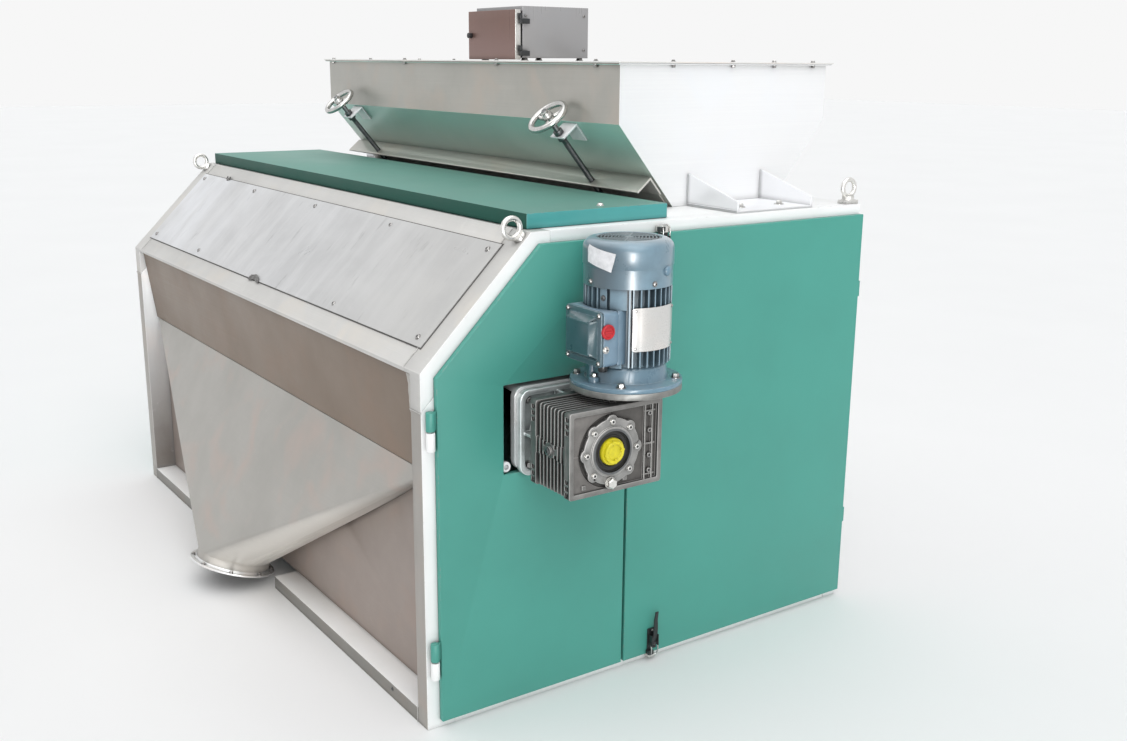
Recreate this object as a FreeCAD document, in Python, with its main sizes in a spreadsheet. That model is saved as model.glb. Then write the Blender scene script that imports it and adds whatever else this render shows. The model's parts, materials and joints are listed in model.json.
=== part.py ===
import FreeCAD, Part
import math
import os
import Sketcher
from FreeCAD import Placement, Rotation, Vector

os.makedirs("parts", exist_ok=True)
doc = FreeCAD.newDocument("magnetic_destoner")

# Driving dimensions in millimetres.
# X runs across the machine, Y from the front plane to the back and Z up from the floor.
SIZES = [
    ("frame_width", 1690, "outside width of the frame"),
    ("frame_depth", 1062, "front plane to back plane"),
    ("frame_height", 900, "floor to top face of the frame"),
    ("slope_drop", 225, "height of the front that leans back at 45 degrees"),
    ("post_width", 37, "front width of the corner posts"),
    ("post_depth", 57, "depth of the front posts and the front rail"),
    ("rear_post_depth", 37, "depth of the rear posts and the rear rail"),
    ("rail_height", 30, "height of the bottom and top rails"),
    ("slope_rail_width", 60, "width of the bars beside the slope panel"),
    ("slope_rail_depth", 70, "vertical depth of the slope bars at the side of the frame"),
    ("slope_sheet", 8, "vertical depth of the slope bars' inner lips"),
    ("slope_bar_run", 30, "length of the lower cross bar along the slope"),
    ("upper_bar_run", 26, "run of the upper cross bar before the end of the slope"),
    ("upper_bar_lip", 9, "flat top of the upper cross bar"),
    ("upper_bar_height", 30, "height of the upper cross bar"),
    ("top_plate_sheet", 8, "thickness of the plate under the hopper"),
    ("ear_gap", 4, "gap from the lid to the top plate's side strips"),
    ("rear_sheet", 3, "thickness of the rear panel"),
    ("rear_sheet_lap", 2, "lap of the rear panel over the posts"),
    ("rear_sheet_gap", 10, "gap from the rear panel to the top of the frame"),
    ("seat_gap", 0.5, "gap between a folded cover and the frame under it"),
    ("door_thickness", 12, "depth of the folded door trays"),
    ("door_skin", 2, "sheet thickness of the door trays"),
    ("door_front", 25, "front edge of the front leaf"),
    ("door_bottom", 16, "lower edge of the doors"),
    ("door_top_gap", 21, "gap from the doors to the top of the frame"),
    ("door_slope_gap", 35, "gap from the doors to the slope, measured upwards"),
    ("door_seam", 437, "line between the two leaves"),
    ("door_rear_gap", 1, "gap from the doors to the back plane"),
    ("seam_gap", 6, "gap between the two leaves"),
    ("window_ahead", 19, "cut-out ahead of the gearbox"),
    ("window_below", 75, "cut-out below the output axis"),
    ("window_above", 91, "cut-out above the output axis"),
    ("hinge_out", 10, "hinge axis outside the frame's side"),
    ("hinge_gap", 12, "hinge axis beyond the edge of the leaf"),
    ("knuckle_radius", 8, "outer radius of the hinge knuckles"),
    ("knuckle_length", 34, "length of a hinge knuckle"),
    ("knuckle_gap", 2, "gap between the two knuckles of a hinge"),
    ("rear_hinge_in", 20, "rear hinge axis inside the frame's side"),
    ("rear_hinge_behind", 10, "rear hinge axis behind the back plane"),
    ("rear_strap_gap", 1, "gap from the rear hinges' straps to the post"),
    ("rear_strap_reach", 10, "reach of the rear hinges' straps over the leaf's edge"),
    ("hinge_pin", 4, "radius of the hinge pins"),
    ("hinge_running", 0.05, "running clearance round a hinge pin"),
    ("pin_reach", 24, "length of pin inside the upper knuckle"),
    ("hinge_strap", 4, "thickness of the hinge straps"),
    ("front_hinge_drop", 102, "front leaf's upper hinge below the slope's start"),
    ("front_hinge_low", 140, "height of the front leaf's lower hinge"),
    ("rear_hinge_drop", 200, "rear leaf's upper hinge below the top of the frame"),
    ("rear_hinge_low", 180, "height of the rear leaf's lower hinge"),
    ("latch_place", 74, "latches behind the seam of the leaves"),
    ("latch_width", 20, "width of a latch"),
    ("latch_depth", 14, "depth of a latch"),
    ("latch_height", 34, "height of a latch body"),
    ("latch_lever", 38, "length of the latch's lever"),
    ("latch_roller", 7, "radius of the latch's hook roller"),
    ("lid_side_gap", 29, "gap from the lid to the frame's side"),
    ("lid_slope_gap", 9, "gap from the slope's end to the lid"),
    ("lid_depth", 321, "depth of the top lid"),
    ("lid_height", 28, "height of the lid's folded edge"),
    ("lid_skin", 2, "sheet thickness of the lid"),
    ("panel_side_gap", 50, "gap from the slope panel to the frame's side"),
    ("panel_low", 42, "lower edge of the slope panel along the slope"),
    ("panel_top_gap", 37, "gap from the slope panel to the end of the slope"),
    ("panel_thickness", 2, "thickness of the slope panel"),
    ("panel_rest", 0.2, "gap under the slope panel"),
    ("front_sheet", 2, "thickness of the front sheets"),
    ("strip_inset", 10, "depth of the upper strip's top edge"),
    ("strip_drop", 7, "drop from the slope's start to the strip's top edge"),
    ("fold_depth", 36, "depth of the fold above the chute"),
    ("fold_drop", 197, "fold above the chute below the slope's start"),
    ("chute_side_gap", 2, "gap from the chute's mouth to the posts"),
    ("chute_top_depth", 52, "depth of the chute's mouth"),
    ("chute_corner", 14, "corner radius of the chute's mouth"),
    ("fold_gap", 1, "gap between the strip and the chute"),
    ("chute_gap", 0.6, "gap round the chute where it passes the lower panel"),
    ("outlet_radius", 84, "outer radius of the outlet neck"),
    ("outlet_reach", 55, "outlet centre ahead of the front plane"),
    ("outlet_height", 62, "height of the neck's upper end"),
    ("outlet_tilt", 18, "tilt of the outlet towards the front"),
    ("outlet_room", 6, "room between the outlet flange and the front rail's ends"),
    ("neck_length", 24, "length of the outlet neck"),
    ("flange_radius", 98, "radius of the outlet flange"),
    ("flange_thickness", 4, "thickness of the outlet flange"),
    ("flange_fit", 0.3, "gap between the outlet neck and its flange"),
    ("flange_bolt_circle", 91, "radius of the outlet flange's bolt circle"),
    ("flange_hole", 3.5, "radius of the outlet flange's holes"),
    ("drive_plate_inset", 32, "plate that carries the drive inside the posts"),
    ("drive_plate", 8, "thickness of the plate that carries the drive"),
    ("drive_plate_room", 8, "room between the chute and the drive's plate"),
    ("drive_plate_edge", 0.5, "gap between the drive's plate and the frame"),
    ("carrier_front", 84, "carrier block ahead of and behind the output axis"),
    ("carrier_below", 72, "carrier block below the output axis"),
    ("carrier_above", 84, "carrier block above the output axis"),
    ("motor_out", 130, "motor axis beyond the frame's side"),
    ("motor_y", 340, "motor axis behind the front plane"),
    ("centre_distance", 75, "worm axis to output axis"),
    ("output_height", 543, "height of the output axis"),
    ("gear_half", 60, "half thickness of the gearbox"),
    ("gear_ahead", 87, "gearbox ahead of the output axis"),
    ("gear_behind", 36, "gearbox behind the motor axis"),
    ("gear_below", 75, "gearbox below the output axis"),
    ("gear_above", 79, "gearbox above the output axis"),
    ("gear_rim", 17, "thickness of the gearbox's two rims"),
    ("gear_core", 9, "core of the gearbox inside its rims"),
    ("gear_corner", 5, "corner radius of the gearbox's rims"),
    ("gear_border", 9, "width of the border round the front recess"),
    ("gear_recess", 6, "depth of the front recess"),
    ("gear_rib", 3.6, "thickness of the gearbox's ribs"),
    ("gear_rib_inset", 1.5, "ribs inside the outline of the rims"),
    ("gear_rib_count", 7, "number of ribs between the rims"),
    ("worm_rib_pitch", 16, "spacing of the ribs over the worm"),
    ("oil_pad_half", 15, "half height of the oil plug's pad"),
    ("oil_pad_waist", 10, "half height of the pad's waist"),
    ("oil_plug_radius", 8, "radius of the oil plug"),
    ("oil_plug_height", 4, "height of the oil plug"),
    ("cover_radius", 59, "radius of the bearing cover between its lobes"),
    ("cover_height", 8, "height of the bearing cover"),
    ("lobe_circle", 53, "radius of the circle of the cover's lobes"),
    ("lobe_radius", 12, "radius of the cover's lobes"),
    ("lobe_count", 8, "number of lobes on the cover"),
    ("cover_hole", 4, "radius of the cover's bolt holes"),
    ("cover_hole_depth", 6, "depth of the cover's bolt holes"),
    ("bearing_ring", 44, "radius of the ring round the seal"),
    ("bearing_ring_height", 3, "height of the ring round the seal"),
    ("seal_radius", 37, "radius of the shaft seal"),
    ("cap_radius", 24, "radius of the cap over the shaft bore"),
    ("cap_crown", 20, "radius of the cap's crown"),
    ("cap_height", 12, "height of the cap's skirt"),
    ("crown_height", 6, "height of the cap's crown"),
    ("press_gap", 0.3, "gap between round pieces set into one another"),
    ("output_flange_half", 80, "half width of the square output flange"),
    ("output_flange_corner", 20, "corner radius of the output flange"),
    ("output_flange_plate", 14, "thickness of the output flange"),
    ("output_flange_recess", 6, "depth of the output flange's recess"),
    ("output_flange_border", 10, "border of the output flange"),
    ("output_flange_gap", 1, "output flange outside the doors"),
    ("hub_radius", 56, "radius of the output flange's hub"),
    ("hub_rib_reach", 72, "reach of the hub's ribs"),
    ("hub_rib", 5, "thickness of the hub's ribs"),
    ("hub_rib_count", 8, "number of ribs on the hub"),
    ("input_neck", 12, "height of the neck under the gearbox's input flange"),
    ("input_neck_radius", 58, "radius of the neck under the input flange"),
    ("input_disc", 11, "thickness of the gearbox's input flange"),
    ("motor_flange_radius", 99, "radius of the motor's flange"),
    ("motor_flange_thickness", 8, "thickness of the motor's flange"),
    ("shield_step", 74, "radius of the end shield on the flange"),
    ("shield_top", 66, "radius of the end shield under the fins"),
    ("shield_height", 30, "height of the end shield"),
    ("motor_radius", 66, "radius of the motor's body under its fins"),
    ("fin_radius", 77, "radius over the motor's fins"),
    ("fin_thickness", 2.8, "thickness of a motor fin"),
    ("fin_count", 32, "number of motor fins"),
    ("fin_length", 137, "length of the motor's finned body"),
    ("cowl_radius", 79, "radius of the fan cowl"),
    ("cowl_step", 77.5, "radius of the cowl's lower band"),
    ("cowl_band", 34, "height of the cowl's lower band"),
    ("cowl_length", 80, "length of the fan cowl"),
    ("cowl_shoulder", 12, "height of the cowl's shoulder"),
    ("cowl_rim", 66, "radius of the cowl's top face"),
    ("grille_radius", 56, "radius of the cowl's grille"),
    ("grille_depth", 3, "depth of the cowl's grille"),
    ("terminal_half", 52, "half width of the terminal box"),
    ("terminal_face", 89, "terminal box's seam ahead of the motor axis"),
    ("terminal_rise", 6, "terminal box over the lower end of the fins"),
    ("terminal_height", 96, "height of the terminal box"),
    ("terminal_corner", 8, "corner radius of the terminal box"),
    ("lid_flange", 5, "thickness of the terminal lid's flange"),
    ("lid_dome", 13, "height of the terminal lid's dome"),
    ("dome_inset", 10, "dome inside the terminal lid's flange"),
    ("dome_taper", 35, "lean of the dome's sides in degrees"),
    ("terminal_seam", 0.4, "seam between the terminal box and its lid"),
    ("plug_back", 81, "entry plug ahead of the motor axis"),
    ("plug_rise", 62, "entry plug over the terminal box's underside"),
    ("plug_radius", 13, "radius of the entry plug"),
    ("plug_height", 6, "height of the entry plug"),
    ("hopper_inset", 163, "hopper's side wall inside the frame's side"),
    ("hopper_lid_gap", 124, "gap from the lid to the hopper's floor"),
    ("hopper_front_lean", 142, "reach of the hopper's leaning front wall"),
    ("hopper_rear_reach", 43, "hopper behind the back plane"),
    ("hopper_rear_lean", 141, "reach of the hopper's leaning rear wall"),
    ("hopper_height", 287, "height of the hopper over the frame"),
    ("knee_height", 169, "height of the hopper's leaning walls"),
    ("hopper_sheet", 3, "sheet thickness of the hopper"),
    ("hopper_seat", 0.3, "gap under the hopper and its cover"),
    ("hopper_rim", 9, "width of the hopper's rim"),
    ("cover_overhang", 12, "overhang of the hopper's cover"),
    ("cover_thickness", 3, "thickness of the hopper's cover"),
    ("inlet_side_gap", 82, "inlet inside the hopper's side walls"),
    ("inlet_box_gap", 36, "inlet behind the control box"),
    ("inlet_rear_gap", 33, "inlet ahead of the hopper's rear wall"),
    ("slot_side_gap", 42, "gate slot inside the hopper's side walls"),
    ("slot_low", 8, "lower edge of the gate slot along the slope"),
    ("slot_height", 36, "height of the gate slot along the slope"),
    ("gate_side_gap", 12, "slide gate inside the hopper's side walls"),
    ("gate_low", 1, "lower edge of the slide gate along the slope"),
    ("gate_height", 83, "height of the slide gate along the slope"),
    ("gate_sheet", 4, "thickness of the slide gate"),
    ("gate_gap", 0.5, "gap between the slide gate and the hopper"),
    ("angle_lap", 2, "angle iron's upper face over the slide gate's edge"),
    ("angle_leg", 44, "leg of the gate's angle iron"),
    ("angle_sheet", 4, "thickness of the angle irons"),
    ("screw_inset", 172, "gate screws inside the hopper's side walls"),
    ("screw_out", 34, "height of the screw axis over the slope"),
    ("screw_radius", 6, "radius of the gate screws"),
    ("screw_low", 42, "lower end of the gate screws along the slope"),
    ("screw_running", 0.05, "running clearance of the screws in their brackets"),
    ("screw_free", 0.5, "clearance of the screws in the gate's angle iron"),
    ("bracket_high", 216, "upper face of the screw brackets along the slope"),
    ("bracket_width", 50, "width of the screw brackets"),
    ("bracket_leg", 44, "leg of the screw brackets"),
    ("bracket_seat", 0.3, "gap between the brackets and the hopper"),
    ("wheel_centre", 262, "place of the handwheels along the slope"),
    ("wheel_radius", 50, "outer radius of the handwheels"),
    ("wheel_wire", 7, "wire radius of the handwheels' rims"),
    ("wheel_spoke", 4, "radius of the handwheels' spokes"),
    ("wheel_hub", 12, "radius of the handwheels' hubs"),
    ("wheel_hub_length", 22, "length of the handwheels' hubs"),
    ("screw_end", 6, "end of the screws beyond the handwheels' hubs"),
    ("nut_radius", 10, "radius of the screw's collars"),
    ("nut_height", 9, "height of the screw's collars"),
    ("nut_gap", 1, "play of the screw's collars on the bracket"),
    ("box_left", 50, "left side of the control box"),
    ("box_width", 200, "width of the control box"),
    ("box_setback", 53, "control box behind the hopper's front wall"),
    ("box_depth", 180, "depth of the control box's body"),
    ("box_foot", 6, "height of the control box's feet"),
    ("box_foot_radius", 6, "radius of the control box's feet"),
    ("box_foot_inset", 14, "feet inside the control box's corners"),
    ("box_height", 112, "height of the control box's body"),
    ("box_door_depth", 16, "depth of the control box's door"),
    ("box_door_gap", 4, "gap between the control box and its door"),
    ("box_door_drop", 8, "door below the top of the control box"),
    ("box_door_below", 4, "door below the control box's underside"),
    ("box_door_left", 6, "door beyond the control box's left side"),
    ("box_door_corner", 3, "corner radius of the control box's door"),
    ("box_hinge_out", 5, "hinge axis beyond the control box's side"),
    ("box_knuckle", 3.5, "radius of the control box's hinge knuckles"),
    ("box_knuckle_length", 11, "length of a knuckle of the control box's hinges"),
    ("box_knuckle_gap", 0.5, "gap between the control box's knuckles"),
    ("box_pin", 1.5, "radius of the control box's hinge pins"),
    ("box_pin_gap", 5, "hidden end of the control box's hinge pins"),
    ("box_hinge_edge", 8, "hinges inside the door's upper and lower edge"),
    ("box_arm_depth", 14, "depth of the fixed hinge arm on the control box"),
    ("box_wing", 6, "width of the hinge wing on the door"),
    ("knob_inset", 14, "latch knob inside the door's edge"),
    ("knob_radius", 6, "radius of the latch knob"),
    ("knob_height", 9, "height of the latch knob"),
    ("eye_ring", 17.5, "mean radius of the eyebolts' rings"),
    ("eye_wire", 5, "wire radius of the eyebolts' rings"),
    ("eye_height", 25, "ring centre over the eyebolt's seat"),
    ("eye_collar", 12.5, "radius of the eyebolts' collars"),
    ("eye_collar_height", 8, "height of the eyebolts' collars"),
    ("eye_edge", 16, "front eyebolts below the end of the slope"),
    ("eye_pad", 8, "thickness of the pads under the rear eyebolts"),
    ("eye_pad_half", 18, "half length of the pads under the rear eyebolts"),
    ("foot_end_share", 0.13333333, "share of the hopper's floor left at each end of its feet"),
    ("foot_side_gap", 8, "gap from the hopper feet to the frame's side"),
    ("foot_sheet", 5, "thickness of the hopper feet"),
    ("gusset_height", 62, "height of the feet's gussets at the hopper"),
    ("gusset_toe", 18, "height of the feet's gussets at their toe"),
]

sheet = doc.addObject("Spreadsheet::Sheet", "Sizes")
for row, (alias, value, note) in enumerate(SIZES, start=1):
    sheet.set(f"A{row}", str(value))
    sheet.setAlias(f"A{row}", alias)
    sheet.set(f"B{row}", note)
doc.recompute()


class Size:
    """A length together with the sheet formula that gives it."""

    def __init__(self, value, formula):
        self.value = float(value)
        self.formula = formula

    def __add__(self, other):
        other = as_size(other)
        return Size(self.value + other.value, f"({self.formula} + {other.formula})")

    def __sub__(self, other):
        other = as_size(other)
        return Size(self.value - other.value, f"({self.formula} - {other.formula})")

    def __mul__(self, other):
        other = as_size(other)
        return Size(self.value * other.value, f"({self.formula} * {other.formula})")

    def __truediv__(self, other):
        other = as_size(other)
        return Size(self.value / other.value, f"({self.formula} / {other.formula})")

    def __neg__(self):
        return Size(-self.value, f"(0 - {self.formula})")

    def __radd__(self, other):
        return as_size(other) + self

    def __rsub__(self, other):
        return as_size(other) - self

    def __rmul__(self, other):
        return as_size(other) * self


def as_size(number):
    return number if isinstance(number, Size) else Size(number, f"({float(number):.6f})")


def size(alias):
    return Size(float(sheet.get(alias)), f"Sizes.{alias}")


def number(alias):
    return float(sheet.get(alias))


def bind(thing, field, amount):
    thing.setExpression(field, as_size(amount).formula)


pieces = []
LETTERS = ("x", "y", "z")

# Faces that most pieces are measured from.
side = size("frame_width") / 2
depth = size("frame_depth")
top = size("frame_height")
post_inner = side - size("post_width")
leaf_start = side + size("seat_gap")
door_face = leaf_start + size("door_thickness")
slope_run = size("slope_drop")
slope_start = top - slope_run
slope_length = slope_run * Size(math.sqrt(2), "sqrt(2)")
motor_x = side + size("motor_out")
hopper_rear = depth + size("hopper_rear_reach")

# The machine stands on the middle of its bounding box.
outlet_turn = math.radians(number("outlet_tilt"))
outlet_sine = Size(math.sin(outlet_turn), "sin(Sizes.outlet_tilt * 1 deg)")
outlet_cosine = Size(math.cos(outlet_turn), "cos(Sizes.outlet_tilt * 1 deg)")
chute_reach = (size("outlet_reach") + size("neck_length") * outlet_sine
               + size("flange_radius") * outlet_cosine)
middle_x = (motor_x + size("motor_flange_radius") - door_face) / 2
middle_y = (hopper_rear + size("cover_overhang") - chute_reach) / 2


def finish(thing, label, at=(0, 0, 0)):
    """Names a finished piece and sets it about the machine's own origin."""
    if thing.TypeId in ("Part::Box", "Part::Cylinder"):
        thing = group(thing.Name + "_piece", [thing])
    thing.Label = label
    bind(thing, "Placement.Base.x", at[0] - middle_x)
    bind(thing, "Placement.Base.y", at[1] - middle_y)
    bind(thing, "Placement.Base.z", at[2])
    pieces.append(thing)
    return thing


def finish_tilted(thing, label, at, degrees):
    """Names a piece drawn in a leaning plane and sets it there; the plane turns about X."""
    thing.Placement = Placement(Vector(), Rotation(Vector(1, 0, 0), degrees.value))
    finish(thing, label, (0, at[0], at[1]))
    thing.setExpression("Placement.Rotation.Angle", degrees.formula)
    return thing


# Outlines for sketches: each is a call that draws itself into a sketch.
def fix_point(drawing, geometry, point, place):
    for kind, amount in zip(("DistanceX", "DistanceY"), place):
        index = drawing.addConstraint(Sketcher.Constraint(kind, -1, 1, geometry, point, amount.value))
        drawing.setExpression(f"Constraints[{index}]", amount.formula)


def fix_radius(drawing, geometry, radius):
    index = drawing.addConstraint(Sketcher.Constraint("Radius", geometry, radius.value))
    drawing.setExpression(f"Constraints[{index}]", radius.formula)


def polygon(corners):
    corners = [(as_size(across), as_size(up)) for across, up in corners]

    def draw(drawing):
        first = drawing.GeometryCount
        count = len(corners)
        for index, (across, up) in enumerate(corners):
            following = corners[(index + 1) % count]
            start = Vector(across.value, up.value, 0)
            end = Vector(following[0].value, following[1].value, 0)
            drawing.addGeometry(Part.LineSegment(start, end), False)
        for index in range(count):
            after = first + (index + 1) % count
            drawing.addConstraint(Sketcher.Constraint("Coincident", first + index, 2, after, 1))
        for index, corner in enumerate(corners):
            fix_point(drawing, first + index, 1, corner)

    return draw


def rectangle(low_across, low_up, high_across, high_up):
    return polygon([(low_across, low_up), (high_across, low_up), (high_across, high_up), (low_across, high_up)])


def circle(across, up, radius):
    across, up, radius = as_size(across), as_size(up), as_size(radius)

    def draw(drawing):
        round_line = Part.Circle(Vector(across.value, up.value, 0), Vector(0, 0, 1), radius.value)
        index = drawing.addGeometry(round_line, False)
        fix_point(drawing, index, 3, (across, up))
        fix_radius(drawing, index, radius)

    return draw


def rounded(low_across, low_up, high_across, high_up, radius):
    """A rectangle with four round corners."""
    low_across, low_up = as_size(low_across), as_size(low_up)
    high_across, high_up, radius = as_size(high_across), as_size(high_up), as_size(radius)
    centres = [(high_across - radius, high_up - radius), (low_across + radius, high_up - radius),
               (low_across + radius, low_up + radius), (high_across - radius, low_up + radius)]

    def draw(drawing):
        arcs = []
        for index, centre in enumerate(centres):
            whole = Part.Circle(Vector(centre[0].value, centre[1].value, 0), Vector(0, 0, 1), radius.value)
            quarter = Part.ArcOfCircle(whole, math.radians(90 * index), math.radians(90 * (index + 1)))
            arcs.append((drawing.addGeometry(quarter, False), quarter))
            fix_point(drawing, arcs[-1][0], 3, centre)
            fix_radius(drawing, arcs[-1][0], radius)
        for index in range(4):
            here, there = arcs[index], arcs[(index + 1) % 4]
            line = drawing.addGeometry(Part.LineSegment(here[1].EndPoint, there[1].StartPoint), False)
            drawing.addConstraint(Sketcher.Constraint("Tangent", here[0], 2, line, 1))
            drawing.addConstraint(Sketcher.Constraint("Tangent", line, 2, there[0], 1))

    return draw


PLANES = {"X": "YZ_Plane", "Y": "XZ_Plane", "Z": "XY_Plane"}


def sketch_on(body, name, axis, offset):
    """An empty sketch across an axis, on one of the body's own planes, moved along its normal."""
    drawing = body.newObject("Sketcher::SketchObject", name)
    plane = next(part for part in body.Origin.OriginFeatures if part.Role == PLANES[axis])
    drawing.AttachmentSupport = [(plane, "")]
    drawing.MapMode = "FlatFace"
    bind(drawing, "AttachmentOffset.Base.z", offset)
    return drawing


def add_slab(body, name, axis, outlines, start, length, kind="PartDesign::Pad"):
    """Outlines drawn across an axis and extruded along it from start over length."""
    start, length = as_size(start), as_size(length)
    offset = -(start + length) if axis == "Y" else start
    drawing = sketch_on(body, name + "_outline", axis, offset)
    for outline in outlines:
        outline(drawing)
    feature = body.newObject(kind, name)
    feature.Profile = drawing
    bind(feature, "Length", length)
    if kind == "PartDesign::Pocket":
        feature.Reversed = True
    return feature


def cut_slab(body, name, axis, outlines, start, length):
    return add_slab(body, name, axis, outlines, start, length, "PartDesign::Pocket")


def add_turned(body, name, outline):
    """An outline in the XZ plane turned about Z."""
    drawing = sketch_on(body, name + "_outline", "Y", 0)
    outline(drawing)
    feature = body.newObject("PartDesign::Revolution", name)
    feature.Profile = drawing
    feature.ReferenceAxis = (drawing, ["V_Axis"])
    feature.Angle = 360
    return feature


def repeat(body, name, kind, feature, count):
    """A pattern about or along the normal of the feature's own sketch."""
    doc.recompute()
    pattern = body.newObject(kind, name)
    pattern.Originals = [feature]
    pattern.setExpression("Occurrences", count.formula)
    reference = (feature.Profile[0], ["N_Axis"])
    if kind == "PartDesign::PolarPattern":
        pattern.Axis = reference
        pattern.Angle = 360
    else:
        pattern.Direction = reference
    body.Tip = pattern
    return pattern


def new_body(name):
    return doc.addObject("PartDesign::Body", name)


def slab(name, axis, outline, start, length):
    body = new_body(name)
    add_slab(body, name + "_pad", axis, [outline], start, length)
    return body


def block(name, low, high):
    """A box from its low corner to its high corner."""
    piece = doc.addObject("Part::Box", name)
    low = [as_size(amount) for amount in low]
    high = [as_size(amount) for amount in high]
    for field, near, far in zip(("Length", "Width", "Height"), low, high):
        bind(piece, field, far - near)
    for letter, near in zip(LETTERS, low):
        bind(piece, "Placement.Base." + letter, near)
    return piece


TURNS = {
    "X": Rotation(Vector(0, 1, 0), 90),
    "Y": Rotation(Vector(1, 0, 0), -90),
    "Z": Rotation(),
}


def set_out(piece, turn, centre):
    piece.Placement = Placement(Vector(), turn)
    for letter, amount in zip(LETTERS, centre):
        bind(piece, "Placement.Base." + letter, amount)
    return piece


def rod(name, axis, centre, radius, length):
    """A cylinder that starts at a point and runs along an axis."""
    piece = doc.addObject("Part::Cylinder", name)
    bind(piece, "Radius", radius)
    bind(piece, "Height", length)
    return set_out(piece, TURNS[axis], centre)


def ring(name, axis, centre, radius, wire):
    piece = doc.addObject("Part::Torus", name)
    bind(piece, "Radius1", radius)
    bind(piece, "Radius2", wire)
    return set_out(piece, TURNS[axis], centre)


def fused(name, parts):
    piece = doc.addObject("Part::MultiFuse", name)
    piece.Shapes = parts
    return piece


def cut(name, base, tool):
    piece = doc.addObject("Part::Cut", name)
    piece.Base = base
    piece.Tool = tool
    return piece


def group(name, parts):
    """Separate solids kept together as one piece."""
    piece = doc.addObject("Part::Compound", name)
    piece.Links = parts
    return piece


def mirrored(name, source):
    piece = doc.addObject("Part::Mirroring", name)
    piece.Source = source
    piece.Normal = Vector(1, 0, 0)
    return piece


def pair(name, source):
    """A piece on one side together with its mirror image on the other."""
    return group(name, [source, mirrored(name + "_mirror", source)])


# Corner posts and rails.
rail = size("rail_height")
front_depth = size("post_depth")
rear_line = depth - size("rear_post_depth")
slope_low = slope_start - size("slope_rail_depth")
post_cut = slope_low + front_depth
slope_rear = top - rail - slope_low
front_post = slab("front_post", "X", polygon([(0, 0), (front_depth, 0), (front_depth, post_cut), (0, slope_low)]),
                  post_inner, size("post_width"))
rear_post = block("rear_post", (post_inner, rear_line, 0), (side, depth, top - rail))
finish(group("posts", [pair("front_posts", front_post), pair("rear_posts", rear_post)]), "corner_posts")

side_bottom = block("side_bottom", (post_inner, front_depth, 0), (side, rear_line, rail))
side_top = block("side_top", (post_inner, slope_rear, top - rail), (side, depth, top))
finish(group("side_rail_group", [pair("side_bottoms", side_bottom), pair("side_tops", side_top)]), "side_rails")

outlet_room = size("flange_radius") + size("outlet_room")
front_bottom = block("front_bottom", (outlet_room, 0, 0), (post_inner, front_depth, rail))
rear_bottom = block("rear_bottom", (-post_inner, rear_line, 0), (post_inner, depth, rail))
finish(group("cross_bottom_group", [pair("front_bottoms", front_bottom), rear_bottom]), "cross_bottom_rails")

# Bars beside the slope, deep at the frame's side and thin where the slope panel lies on them.
lip = size("slope_sheet")
bar_inner = side - size("slope_rail_width")
slope_bar = new_body("slope_bar")
deep_outline = polygon([(0, slope_low), (0, slope_start), (slope_run, top), (slope_rear, top),
                        (slope_rear, top - rail)])
thin_outline = polygon([(0, slope_start - lip), (0, slope_start), (slope_run, top), (slope_run, top - lip)])
add_slab(slope_bar, "slope_bar_side", "X", [deep_outline], post_inner, size("post_width"))
add_slab(slope_bar, "slope_bar_lip", "X", [thin_outline], bar_inner, size("slope_rail_width"))
finish(pair("slope_bar_pair", slope_bar), "slope_rails")

bar_run = size("slope_bar_run")
lower_bar = slab("lower_bar", "X",
                 polygon([(0, slope_start - lip), (0, slope_start), (bar_run, slope_start + bar_run),
                          (bar_run, slope_start + bar_run - lip)]),
                 -bar_inner, bar_inner * 2)
upper_run = size("upper_bar_run")
upper_height = size("upper_bar_height")
upper_lip = size("upper_bar_lip")
upper_bar = slab("upper_bar", "X",
                 polygon([(slope_run - upper_run, top - upper_run - upper_height),
                          (slope_run - upper_run, top - upper_run), (slope_run, top), (slope_run + upper_lip, top),
                          (slope_run + upper_lip, top - upper_height + upper_lip)]),
                 -bar_inner, bar_inner * 2)
finish(group("slope_cross_group", [lower_bar, upper_bar]), "slope_cross_bars")

# Top lid, a tray turned upside down.
lid_half = side - size("lid_side_gap")
lid_front = slope_run + size("lid_slope_gap")
lid_rear = lid_front + size("lid_depth")
lid_skin = size("lid_skin")
lid_low = top + size("seat_gap")
lid = new_body("lid")
add_slab(lid, "lid_outside", "Z", [rectangle(-lid_half, lid_front, lid_half, lid_rear)], lid_low, size("lid_height"))
cut_slab(lid, "lid_inside", "Z",
         [rectangle(-lid_half + lid_skin, lid_front + lid_skin, lid_half - lid_skin, lid_rear - lid_skin)],
         lid_low, size("lid_height") - lid_skin)
finish(lid, "top_lid")

hopper_floor_front = lid_rear + size("hopper_lid_gap")
plate_low = top - size("top_plate_sheet")
hopper_half = side - size("hopper_inset")
plate_parts = [block("plate_main", (-post_inner, hopper_floor_front, plate_low), (post_inner, depth, top))]
for name, near, far in (("left", -post_inner, -hopper_half), ("right", hopper_half, post_inner)):
    plate_parts.append(block(f"plate_{name}", (near, lid_rear + size("ear_gap"), plate_low),
                             (far, hopper_floor_front, top)))
top_plate = fused("plate_with_strips", plate_parts)
finish(top_plate, "top_plate")

# Doors and side panel: flat sheets towards the outside with their edges turned in.
skin = size("door_skin")
door_low = size("door_bottom")
door_high = top - size("door_top_gap")
door_slant = slope_start - size("door_slope_gap")
inner_slant = door_slant - skin * Size(math.sqrt(2), "sqrt(2)")
door_front = size("door_front")
door_rear = depth - size("door_rear_gap")
half_seam = size("seam_gap") / 2
motor_y = size("motor_y")
output_y = motor_y - size("centre_distance")
output_z = size("output_height")
gear_front = output_y - size("gear_ahead")
window_front = gear_front - size("window_ahead")
window_low = output_z - size("window_below")
window_high = output_z + size("window_above")


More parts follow.
